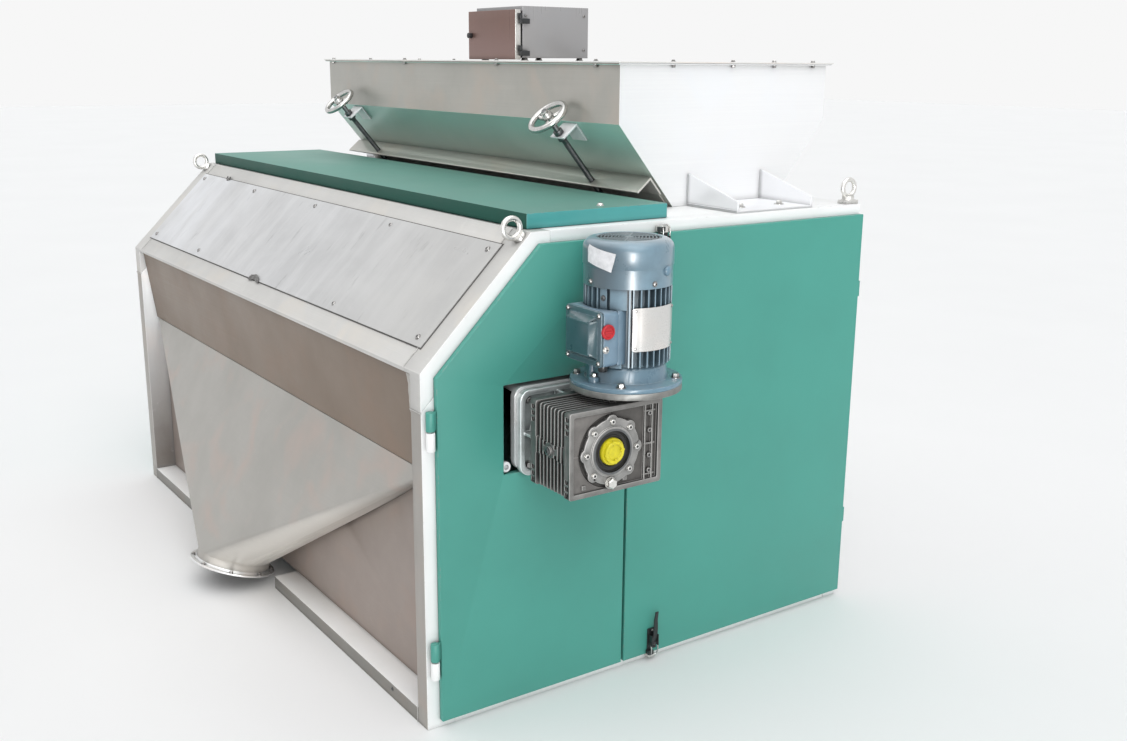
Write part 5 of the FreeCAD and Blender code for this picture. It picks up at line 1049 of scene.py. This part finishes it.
# Painted shadow under the slope's lower lip, as a dark rubber strip; the rail's hole and the lid's screw.
finished("lip_shadow_seal", box_shape((-806, 8, 664.5), (806, 11.5, 667.6)), SEAL_RUBBER, "cabinet", 0.5)
fasten("rail_screw", "socket", [(spot(704, 0.2, 20), FRONT)], "cabinet", 8, 1.4, finish=DARK_STEEL)
fasten("lid_screw", "cross", [(spot(784, 419, 928.6), UP)], "cabinet", 12, 4.5, washer=15, seat=0.8, finish=ZINC)
rear_screws = [(spot(x, 1065, z), BACK) for x in (-790, -263, 263, 790) for z in (34, 872)]
rear_screws += [(spot(x, 1065, 453), BACK) for x in (-790, 790)]
fasten("rear_panel_screws", "cross", rear_screws, "cabinet", 12, 3.6, washer=16, seat=0.8)

# Hinge rivets on the straps.
fasten("front_hinge_rivets", "rivet", [(spot(849.2, 18, z + step), RIGHT) for z in (573, 140) for step in (-27, -10)], "cabinet", 6, 1.6, finish=FRAME_WHITE)

# ---------------------------------------------------------------- latches


def latch_parts(edge, way):
    """One toggle latch: base, cheeks, lever, pivot and claw, from the leaf's edge inwards."""
    def z(step):
        return edge + way * step

    def block(low, high):
        return box_shape((low[0], low[1], min(low[2], high[2])), (high[0], high[1], max(low[2], high[2])))

    base = block((857.6, 499.5, z(2)), (859.8, 522.5, z(48)))
    cheeks = [block((859.6, y, z(12)), (871.2, y + 2.2, z(36))) for y in (502, 517.8)]

    def lever(u, v):
        step = 14 + 73 * u
        lift = 6.0 + 5.0 * math.sin(u * math.pi) + 5.5 * max(0.0, u - 0.72) ** 1.2 / 0.2
        return spot(859.5 + min(lift, 12.0), 505.0 + (12.5 - 5.5 * u) * v + 5.5 * u, z(step))

    arm = thin_solid("lever", 18, 2, lever, lambda u, v: lever(u, v) - Vector((0.0024, 0, 0)))
    drum = lathe("pivot", spot(865, 500.5, z(17)), (0, 1, 0), [(0, 0), (3.6, 0), (3.6, 21), (0, 21)], 20)
    claw = block((858.2, 496.5, z(-6)), (868.5, 509, z(3)))
    return [base, *cheeks, arm, drum, claw]


def latch_hook(edge, way):
    """The latch's wire loop."""
    path = [(866, 503.2, 18), (869.5, 503.2, 6), (868, 503.2, -6), (863, 504.5, -9.5), (863, 518.5, -9.5), (868, 519.8, -6), (869.5, 519.8, 6), (866, 519.8, 18)]
    return tube("hook", [spot(x, y, edge + way * step) for x, y, step in path], 1.5)


blacks, wires = [], []
for edge, way in ((23, 1), (886, -1)):
    blacks += latch_parts(edge, way)
    wires.append(latch_hook(edge, way))
finished("latch_bodies", combined("latch_bodies", blacks), LATCH_BLACK, BODY_OF["door_latches"], 0.5, node="door_latches")
finished("latch_hooks", combined("latch_hooks", wires), CHROME, BODY_OF["door_latches"], angle=50)
keepers = [box_shape((847, 501, 880.5), (866.5, 522, 892.5)), box_shape((846, 503, 6.5), (860.5, 520, 14.5))]
finished("latch_keepers", combined("latch_keepers", keepers), ZINC, "cabinet", 1.0)
fasten("latch_rivets", "rivet", [(spot(859.8, 511, z), RIGHT) for z in (66, 843)], BODY_OF["door_latches"], 5, 1.4)

# ---------------------------------------------------------------- outlet

turn = math.radians(18)
outlet_down = Vector((0, -math.sin(turn), -math.cos(turn)))
outlet_front = Vector((0, math.cos(turn), -math.sin(turn)))
outlet_bolts = []
for index in range(8):
    angle = math.radians(22.5 + 45 * index)
    ring_point = Vector((math.cos(angle), 0, 0)) * 0.091 - outlet_front * (0.091 * math.sin(angle))
    outlet_bolts.append((spot(0, -55, 62) + outlet_down * 0.020 + ring_point, -outlet_down))
fasten("outlet_bolts", "hexagon", outlet_bolts, "cabinet", 8, 4, washer=10, seat=0.8)
collar_base = spot(0, -55, 62)
finished("outlet_collar_weld", lathe("outlet_collar_weld", collar_base, outlet_down, [(84.2, 15.5), (86.6, 19.2), (86.8, 20.3), (83.8, 20.3)], 96, closed=True),
         FLANGE_STEEL, "cabinet", angle=60)

# ---------------------------------------------------------------- gearbox


def rim_pockets():
    """Small cast pockets near the corners of the two rims, on their front and lower sides."""
    boxes = []
    for low_x in (918.5, 1021.5):
        for z in (476.5, 488, 499.5, 586.5, 598, 609.5):
            boxes.append(box_shape((low_x, 176, z - 4), (low_x + 9.5, 182.5, z + 4)))
        for y in (187.5, 199, 210.5, 343.5, 355, 366.5):
            boxes.append(box_shape((low_x, y - 4, 463), (low_x + 9.5, y + 4, 472.5)))
    return combined("rim_pockets", boxes)


def side_grooves():
    """Carries the gaps between the ribs past the oil plug, leaving only a round boss for it."""
    boxes = []
    for index in range(8):
        low = 933.6 if index == 0 else 932 + 10.75 * index + 1.8
        high = 1016.4 if index == 7 else 932 + 10.75 * (index + 1) - 1.8
        near = max(0.0, abs((low + high) / 2 - 975) - 3.6)
        boss = math.sqrt(max(0.0, 13.5 ** 2 - near ** 2))
        if boss < 3:
            boxes.append(box_shape((low + 0.2, 176, 526), (high - 0.2, 184, 560)))
        else:
            boxes.append(box_shape((low + 0.2, 176, 526), (high - 0.2, 184, 543 - boss)))
            boxes.append(box_shape((low + 0.2, 176, 543 + boss), (high - 0.2, 184, 560)))
    return combined("side_grooves", boxes)


# Picks finishes by face: the recess takes the painted shade copy and the rim pockets the painted shadow.
def gear_faces(face):
    if face.center.z > 0.6335:
        return 1
    if face.normal.x > 0.8 and face.center.x * 1000 + MIDDLE_X > 1027:
        return 2 if face.center.x * 1000 + MIDDLE_X > 1030.5 else 3
    x, y = face.center.x * 1000 + MIDDLE_X, face.center.y * 1000 + MIDDLE_Y
    if abs(x - 923.3) < 5.2 or abs(x - 1026.3) < 5.2:
        if face.normal.y < -0.7 and 180 < y < 184:
            return 5
    return 4 if abs(face.normal.x) < 0.5 else 0


def corner_web(up, out):
    """A raised corner of the recess, with a round inner edge that follows the cover."""
    middle_y, middle_z = 265, 543
    outer_y, outer_z = middle_y + out * 78.2, middle_z + up * 70.2

    def face(u, v):
        angle = math.radians(90 * u)
        inner = (middle_y + out * 66 * math.sin(angle), middle_z + up * 66 * math.cos(angle))
        outer = (outer_y if u > 0.5 else middle_y + (outer_y - middle_y) * 2 * u, outer_z if u < 0.5 else middle_z + (outer_z - middle_z) * 2 * (1 - u))
        return spot(1031.8, inner[0] + (outer[0] - inner[0]) * v, inner[1] + (outer[1] - inner[1]) * v)

    return thin_solid("corner_web", 24, 1, face, lambda u, v: face(u, v) - RIGHT * 0.0032)


# The flange's front faces take the painted reflection copy.
dress("gearbox_output_flange", [OUTPUT_CASTING, OUTPUT_EDGE_REFLECTION], 1.2,
      split=lambda face: 1 if face.normal.y < -0.5 and face.center.y * 1000 + MIDDLE_Y < 190 else 0)
dress("gearbox_housing", [GEAR_CASTING, FLANGE_CASTING, GEAR_FACE, GEAR_RECESS_SHADE, GEAR_SIDE, SHADOW], 0.8, split=gear_faces,
      carve=combined("gear_cuts", [rim_pockets(), side_grooves()]))
dress("gearbox_cover", [COVER_CASTING], 0.8)
webs = [corner_web(up, out) for up in (-1, 1) for out in (-1,)]
finished("gear_corner_webs", combined("gear_corner_webs", webs), GEAR_WEB, "cabinet", 0.8)
gear_axis = spot(1029, 265, 543)
finished("seal_lips", lathe("seal_lips", gear_axis, RIGHT, [(24.4, 0), (37, 0), (37, 8), (34.5, 8.4), (33.5, 6.6), (30, 6.6), (29, 8.2), (27, 8.2), (25.8, 5.6), (24.4, 5.6)], 72, closed=True),
         SEAL_RUBBER, "cabinet", angle=40, node="gearbox_seal")
finished("retaining_ring", lathe("retaining_ring", gear_axis, RIGHT, [(37.1, 8.6), (40.5, 8.6), (40.5, 11.4), (37.1, 11.4)], 72, closed=True),
         DARK_STEEL, "cabinet", angle=40)
cap_profile = [(0, 0), (24, 0), (24, 10.5), (23.2, 12), (20.4, 12), (20, 12.6), (19.6, 17.2), (18.8, 18), (15.4, 18), (14.6, 17.2), (14.3, 15.4), (13.6, 14.8), (0, 14.8)]
cap_parts = [lathe("cap", gear_axis, RIGHT, cap_profile, 72)]
for degrees in (8, 98, 188, 278):
    reach = Vector((0, math.cos(math.radians(degrees)), math.sin(math.radians(degrees))))
    across = Vector((0, -reach.z, reach.y))
    middle = gear_axis + reach * 0.0165
    tab = bmesh.new()
    corners = [tab.verts.new(middle + reach * (a * 0.0042) + across * (b * 0.0016) + RIGHT * c)
               for a in (-1, 1) for b in (-1, 1) for c in (0.0145, 0.0174)]
    for face in ((0, 1, 3, 2), (4, 6, 7, 5), (0, 4, 5, 1), (2, 3, 7, 6), (0, 2, 6, 4), (1, 5, 7, 3)):
        tab.faces.new([corners[index] for index in face])
    cap_parts.append(from_bmesh(tab, "tab"))
finished("bearing_cap_ribbed", combined("bearing_cap_ribbed", cap_parts), CAP_YELLOW, "cabinet", angle=32, node="bearing_cap")

cover_bolts = [(spot(1037, 265 + 53 * math.cos(math.radians(a)), 543 + 53 * math.sin(math.radians(a))), RIGHT) for a in range(0, 360, 45)]
fasten("cover_bolts", "socket", cover_bolts, "cabinet", 9, 3.2, washer=11, seat=0.5, finish=ZINC)
fasten("gear_column_bolts", "socket", [(spot(1029, 350, z), RIGHT) for z in (492, 520, 566, 597)], "cabinet", 9, 4.5, finish=SCREW_STEEL)
fasten("drain_plug", "hexagon", [(spot(1037, 262, 487), RIGHT)], "cabinet", 19, 9, washer=22, seat=1.5, finish=ZINC)
finished("oil_plug_boss", lathe("oil_plug_boss", spot(975, 185, 543), FRONT, [(0, 0), (13.5, 0), (13.5, 6.6), (12.8, 7.2), (0, 7.2)], 40),
         GEAR_SIDE, "cabinet", angle=40)
fasten("oil_plug_head", "socket", [(spot(975, 173.8, 543), FRONT)], "cabinet", 13, 2.6, finish=DARK_STEEL)
flange_bolts = [(spot(866.5, 265 + a, 543 + b), RIGHT) for a in (-61, 61) for b in (-61, 61)]
fasten("output_flange_bolts", "hexagon", flange_bolts, "cabinet", 11, 6, washer=15, seat=1.2)
lugs = [box_shape((1029, 292, 484), (1034.5, 301, 497)), box_shape((1029, 205, 482), (1034, 213, 490)), box_shape((1029, 338, 484), (1033, 362, 487)),
        box_shape((1029, 338, 540), (1033, 362, 543.5)), box_shape((1029, 338, 600), (1033, 362, 603))]
finished("gear_face_lugs", combined("gear_face_lugs", lugs), GEAR_FACE, "cabinet", 1.0)
finished("window_pipe_end", lathe("window_pipe_end", spot(825, 166, 480), RIGHT, [(0, 0), (10, 0), (10, 28), (8.5, 29.5), (5, 29.5), (4.5, 26), (0, 26)], 32),
         FEET_STEEL, "cabinet", angle=35)

# ---------------------------------------------------------------- motor

dress("motor_end_shield", [MOTOR_ENAMEL, SHIELD_ENAMEL], 1.2, split=lambda face: 1 if face.center.z > 0.6545 else 0)
BODY_LOW, BODY_HIGH = 683, 820
fin_places, fin_spans = [], []
for index in range(36):
    degrees = 10 * index - 130
    degrees = degrees - 360 if degrees > 180 else degrees
    if -78 < degrees < -36:
        continue
    if -146 < degrees < -36:
        fin_places.append((spot(MOTOR_X, MOTOR_Y, 784), outward(degrees)))
        fin_spans.append(BODY_HIGH - 784)
    else:
        fin_places.append((spot(MOTOR_X, MOTOR_Y, BODY_LOW + 2), outward(degrees)))
        fin_spans.append(BODY_HIGH - BODY_LOW - 2)
fins = grown(FINS, places_mesh(fin_places, fin_spans), {"Root": 63, "Reach": 14, "Thickness": 4.6, "Tip thickness": 2.6, "Finish": FIN_ENAMEL})


def motor_pad(start, end, low, high, radius):
    """A flat-topped cast pad on the motor's shell, between two angles and two heights."""
    def face(u, v):
        return round_motor(radius, start + (end - start) * u, low + (high - low) * v)

    return thin_solid("pad", 6, 1, face, lambda u, v: round_motor(60, start + (end - start) * u, low + (high - low) * v))


core = lathe("core", spot(MOTOR_X, MOTOR_Y, BODY_LOW), UP, [(0, 0), (65, 0), (66, 3), (66, 134), (65, 137), (0, 137)], 72)
pads = [motor_pad(-77, -66, 782, 820, 74), motor_pad(-62, -38, 784, 820, 73), motor_pad(-62, -44, 683, 700, 73),
        motor_pad(-36, -33.5, BODY_LOW + 2, 820, 76), motor_pad(42, 50, 683, 704, 74)]
finished("motor_finned_body", combined("motor_finned_body", [core, fins, *pads]), FIN_ENAMEL, "cabinet", 0.5, node="motor_body", segments=1)

cowl_profile = [(0, 0), (77.5, 0), (77.5, 32), (78, 34), (79, 35.5)]
cowl_profile += [(61 + 18 * math.cos(math.radians(a)), 61.4 + 18 * math.sin(math.radians(a))) for a in range(0, 86, 9)]
cowl_profile += [(60, 79.7), (57, 79.8), (56, 79), (55.6, 77), (0, 77)]


# The cowl's floor under the grille takes the painted shadow finish.
def cowl_floor(face):
    middle = face.center
    away = math.hypot(middle.x - spot(MOTOR_X, 0, 0).x, middle.y - spot(0, MOTOR_Y, 0).y)
    return 1 if away < 0.0545 and middle.z > 0.89 else 0


cowl_mesh = soften(lathe("cowl", spot(MOTOR_X, MOTOR_Y, BODY_HIGH), UP, cowl_profile, 96), [COWL_ENAMEL, SHADOW], 0, 38, split=cowl_floor)
place_piece("fan_cowl_smooth", cowl_mesh, "cabinet", "fan_cowl")
grille_rings = [(spot(MOTOR_X, MOTOR_Y, 898.4), UP) for _ in range(8)]
grille = grown(WIRES, places_mesh(grille_rings, [12, 18, 24, 30, 36, 42, 48, 54]), {"Wire": 2.6, "Steps": 72, "Finish": GRILLE_ENAMEL})
bars = [lathe("hub", spot(MOTOR_X, MOTOR_Y, 897), UP, [(0, 0), (8, 0), (8, 2.2), (6.5, 2.8), (0, 2.8)], 32)]
for index in range(6):
    way = outward(60 * index + 15)
    side_way = Vector((-way.y, way.x, 0))
    centre = spot(MOTOR_X, MOTOR_Y, 897.2)
    bar = bmesh.new()
    corners = [bar.verts.new(centre + way * a + side_way * b + UP * c) for a in (0.006, 0.0565) for b in (-0.0016, 0.0016) for c in (0, 0.0022)]
    for face in ((0, 1, 3, 2), (4, 6, 7, 5), (0, 4, 5, 1), (2, 3, 7, 6), (0, 2, 6, 4), (1, 5, 7, 3)):
        bar.faces.new([corners[index] for index in face])
    bars.append(from_bmesh(bar, "bar"))
finished("cowl_grille", combined("cowl_grille", [grille, *bars]), GRILLE_ENAMEL, "cabinet", angle=40)
fasten("cowl_screws", "cross", [(round_motor(77.6, a, 822.5 + 6), outward(a)) for a in (-92, -2, 88, 178)], "cabinet", 8, 3, washer=10, seat=0.6)
bump = lathe("cowl_boss", round_motor(76, 20, 848), outward(20), [(0, 0), (9, 0), (8.6, 4), (6.4, 6.4), (3, 7.4), (0, 7.6)], 28)
finished("cowl_boss", bump, MOTOR_ENAMEL, "cabinet", angle=60)


def sticker(u, v):
    degrees = -97 + (39 + 5 * v) * u
    height = (862 - 13 * u) * (1 - v) + (891 - 11 * u) * v
    curl = 3.0 * max(0.0, u - 0.75) / 0.25 * max(0.0, 0.6 - v) / 0.6
    shoulder = 18 * (1 - math.sqrt(max(0.0, 1 - max(0.0, (height - 881.4) / 18) ** 2)))
    return round_motor(79.45 + curl - shoulder, degrees, height)


finished("cowl_sticker", thin_solid("cowl_sticker", 24, 12, sticker, lambda u, v: sticker(u, v) - outward(-77) * 0.0003), PAPER_WHITE, "cabinet", angle=60)


def nameplate(u, v):
    degrees = -31 + 74 * u
    corner = 2.5 * (max(0.0, abs(2 * u - 1) - 0.93) / 0.07)
    height = 714 + 75 * v
    height = min(max(height, 714 + corner), 789 - corner)
    bulge = 0.8 * math.sin(u * 9.0) * math.sin(v * 3.1) + 1.6 * max(0.0, 0.12 - u) / 0.12
    return round_motor(78.0 + bulge, degrees, height)


finished("bare_nameplate", thin_solid("bare_nameplate", 40, 14, nameplate, lambda u, v: nameplate(u, v) - outward(6) * 0.0008), PLATE_SILVER, "cabinet", angle=60)
fasten("pad_screw", "cross", [(round_motor(74, -71.5, 803), outward(-71.5))], "cabinet", 8, 2.4, washer=10, seat=0.6, finish=DARK_STEEL)
fasten("nameplate_rivets", "rivet", [(round_motor(78.3, a, z), outward(a)) for a in (-27, 39) for z in (719, 784)], "cabinet", 5.5, 1.8, finish=SCREW_STEEL)

flange_top = 653.2
fasten("motor_flange_bolts", "hexagon", [(round_motor(87, a, flange_top), UP) for a in (-43, 47, 137, 227)], "cabinet", 13, 6.5, washer=18, seat=1.6, finish=SCREW_STEEL)
lug_parts = []
for degrees in (-84, 96):
    lug_parts.append(lathe("lug", round_motor(76, degrees, 653), UP, [(0, 0), (10, 0), (10, 9), (8.5, 11), (0, 11)], 28))
    lug_parts.append(lathe("lug_post", round_motor(71, degrees - 10, 653), UP, [(0, 0), (6, 0), (5.4, 28), (4.6, 30), (0, 30)], 24))
finished("shield_lugs", combined("shield_lugs", lug_parts), MOTOR_ENAMEL, "cabinet", 0.6, angle=50)
fasten("shield_bolts", "hexagon", [(round_motor(76, a, 664), UP) for a in (-84, 96)] + [(round_motor(71, a - 10, 683), UP) for a in (-84, 96)],
       "cabinet", 9, 5, washer=12, seat=1.0)

# Painted light on the terminal box, painted shade on its lid's front.
dress("terminal_box", [TERMINAL_PAINTED_LIGHT], 1.4)
dress("terminal_box_lid", [LID_RIM_ENAMEL, TERMINAL_LID_PAINTED_SHADE], 1.4, split=lambda face: 1 if face.normal.y < -0.4 and face.center.y * 1000 + MIDDLE_Y < 245 else 0)
finished("terminal_saddle", box_shape((923, 281, 689.4), (1026.9, 299, 784.6)), TERMINAL_PAINTED_LIGHT, "cabinet", 2.2)
finished("terminal_gasket", box_shape((925, 250.2, 691), (1025, 251.3, 783)), SEAL_RUBBER, "cabinet", 0.3)
plug_profile = [(0, 0), (13, 0), (13, 3.4), (12, 4.8), (10.2, 5.2), (9.6, 4.4), (9, 3.0), (0, 3.0)]
plug_parts = [lathe("plug", spot(1027, 259, 751), RIGHT, plug_profile, 48), box_shape((1029.5, 251, 749.6), (1031.6, 267, 752.4))]
finished("entry_plug", combined("entry_plug", plug_parts), PLUG_RED, "cabinet", 0.3, node="terminal_plug")
fasten("terminal_lid_screws", "cross", [(spot(MOTOR_X + a, 245.6, z), FRONT) for a in (-45, 45) for z in (696, 778)], "cabinet", 8, 3, washer=9.5, seat=0.6)
fasten("earth_screw", "cross", [(spot(1027, 256, 720), RIGHT)], "cabinet", 10, 3, washer=13, seat=0.9, finish=ZINC)
gland = lathe("gland", spot(1003, 268, 676), UP, [(0, 0), (7, 0), (8.5, 2), (8.5, 9), (11, 9.5), (11, 14), (0, 14)], 24)
finished("cable_gland_stop", gland, LATCH_BLACK, "cabinet", angle=40)

# ---------------------------------------------------------------- hopper, gate and handwheels


# Picks painted light for the end faces and painted reflection for the leaning face.
def hopper_faces(face):
    if abs(face.normal.x) > 0.9:
        return 1
    return 2 if face.normal.y < -0.3 and face.normal.z < -0.3 else 0


dress("hopper_body", [HOPPER_STEEL, END_PAINTED_LIGHT, LEAN_PAINTED_REFLECTION], 0.6, split=hopper_faces)
dress("hopper_cover", [COVER_STEEL], 0.6)
dress("hopper_feet", [FEET_STEEL], 0.8)
dress("gate_plate", [GATE_STEEL], 0.6)
dress("gate_angle", [GATE_STEEL], 0.8)
dress("gate_screw_brackets", [FEET_STEEL], 0.8)

foot_bolts, foot_welds = [], []
for side in (-1, 1):
    foot_bolts += [(spot(side * 790, y, 905), UP) for y in (768, 876)]
    for y in (716.6, 921.6):
        foot_welds += [(spot(side * 683, y, 906), spot(side * 683, y, 964)), (spot(side * 684, y, 905.4), spot(side * 835, y, 905.4))]
fasten("foot_bolts", "hexagon", foot_bolts, "cabinet", 13, 6, washer=20, seat=1.8, finish=ZINC)
weld("foot_welds", foot_welds, FEET_STEEL, width=3.6, pitch=2.2)

rim_bolts, rim_nuts = [], []
for x in (-645, -215, 229, 606):
    rim_bolts.append((spot(x, 534, 1190.4), UP))
    rim_nuts.append((spot(x, 532, 1184), DOWN))
for side in (-1, 1):
    for y in (667, 827, 944, 1060):
        rim_bolts.append((spot(side * 686, y, 1190.4), UP))
        rim_nuts.append((spot(side * 687, y, 1184), DOWN))
fasten("rim_bolts", "hexagon", rim_bolts, "cabinet", 8, 3.2, washer=11, seat=0.8)
fasten("rim_nuts", "hexagon", rim_nuts, "cabinet", 8, 4.5, washer=10, seat=0.8)


def handwheel(across):
    """Dished handwheel on its screw: rim, three curved spokes, hub and end nut."""
    centre = on_face(GATE, across, 262, 34)
    axis = (GATE.to_3x3() @ Vector((0, 1, 0))).normalized()
    first = GATE.to_3x3() @ Vector((1, 0, 0))
    second = GATE.to_3x3() @ Vector((0, 0, 1))
    rim = [(40.5 + 6.6 * math.cos(math.radians(a)), 6.6 * math.sin(math.radians(a))) for a in range(0, 360, 18)]
    parts = [lathe("rim", centre, axis, rim, 72, closed=True),
             lathe("hub", centre, axis, [(0, -11), (10.5, -11), (12, -9.5), (12, 3), (10, 7), (9, 11), (0, 11)], 32),
             lathe("nut", centre, axis, [(0, 11), (7.6, 11), (7.6, 14.5), (6, 16.4), (0, 16.8)], 6)]
    for index in range(3):
        angle = math.radians(120 * index + 30)
        way = first * math.sin(angle) + second * math.cos(angle)
        points = [centre + way * (reach / 1000) + axis * (rise / 1000) for reach, rise in ((8, -5), (20, -7.5), (32, -5.5), (37.5, -1.5), (40.5, 0))]
        parts.append(tube("spoke", points, 4.4, 12))
    return combined("handwheel", parts)


for side, across in (("left", -510), ("right", 510)):
    screw = soften(node_copy(f"gate_screw_{side}"), [DARK_STEEL], 0.4)
    place_piece(f"gate_screw_{side}_finished", screw, f"{side}_screw", f"gate_screw_{side}")
    finished(f"handwheel_{side}_dished", handwheel(across), CHROME, f"{side}_screw", angle=42, node=f"handwheel_{side}")
    threads = [(on_face(GATE, across, 60 + 3 * step, 34), GATE.to_3x3() @ Vector((0, 1, 0))) for step in range(44)]
    mesh = grown(WIRES, places_mesh(threads, [5.9] * len(threads)), {"Wire": 1.5, "Steps": 16, "Finish": DARK_STEEL})
    place_piece(f"screw_threads_{side}", mesh, f"{side}_screw")

# ---------------------------------------------------------------- control box and eyebolts


def box_faces(face):
    return 1 if face.normal.z > 0.7 else 0


dress("control_box", [BOX_STEEL, BOX_TOP_STEEL], 0.8, split=box_faces)
# Painted reflection on the door's face, painted light on its side edges.
dress("control_box_door", [BOX_DOOR_PAINTED_REFLECTION, BOX_EDGE_PAINTED_LIGHT], 1.0, split=lambda face: 1 if abs(face.normal.x) > 0.7 else 0)
dress("box_hinge_fixed_halves", [LATCH_BLACK], 0.4)
dress("box_door_fittings", [LATCH_BLACK], 0.4)
gasket = [box_shape((48.5, 586.2, z), (246, 588.6, z + 5)) for z in (1198, 1290)]
gasket += [box_shape((x, 586.2, 1198), (x + 5, 588.6, 1295)) for x in (48.5, 241)]
finished("box_gasket", combined("box_gasket", gasket), SEAL_RUBBER, BODY_OF["control_box_door"], 0.6)
fasten("box_foot_nuts", "hexagon", [(spot(x, y, 1190.4), UP) for x in (64, 236) for y in (604, 756)], "cabinet", 16, 4, washer=19, seat=1, finish=SCREW_STEEL)
fasten("box_hinge_screws", "cross", [(spot(253.7, 597, z), RIGHT) for z in (1206, 1287)], "cabinet", 5, 1.4)
fasten("box_side_screws", "cross", [(spot(250, 758, z), RIGHT) for z in (1214, 1290)] + [(spot(50, 758, z), LEFT) for z in (1214, 1290)], "cabinet", 7, 2)

dress("lifting_eyebolts", [ZINC], 0.0, angle=40)
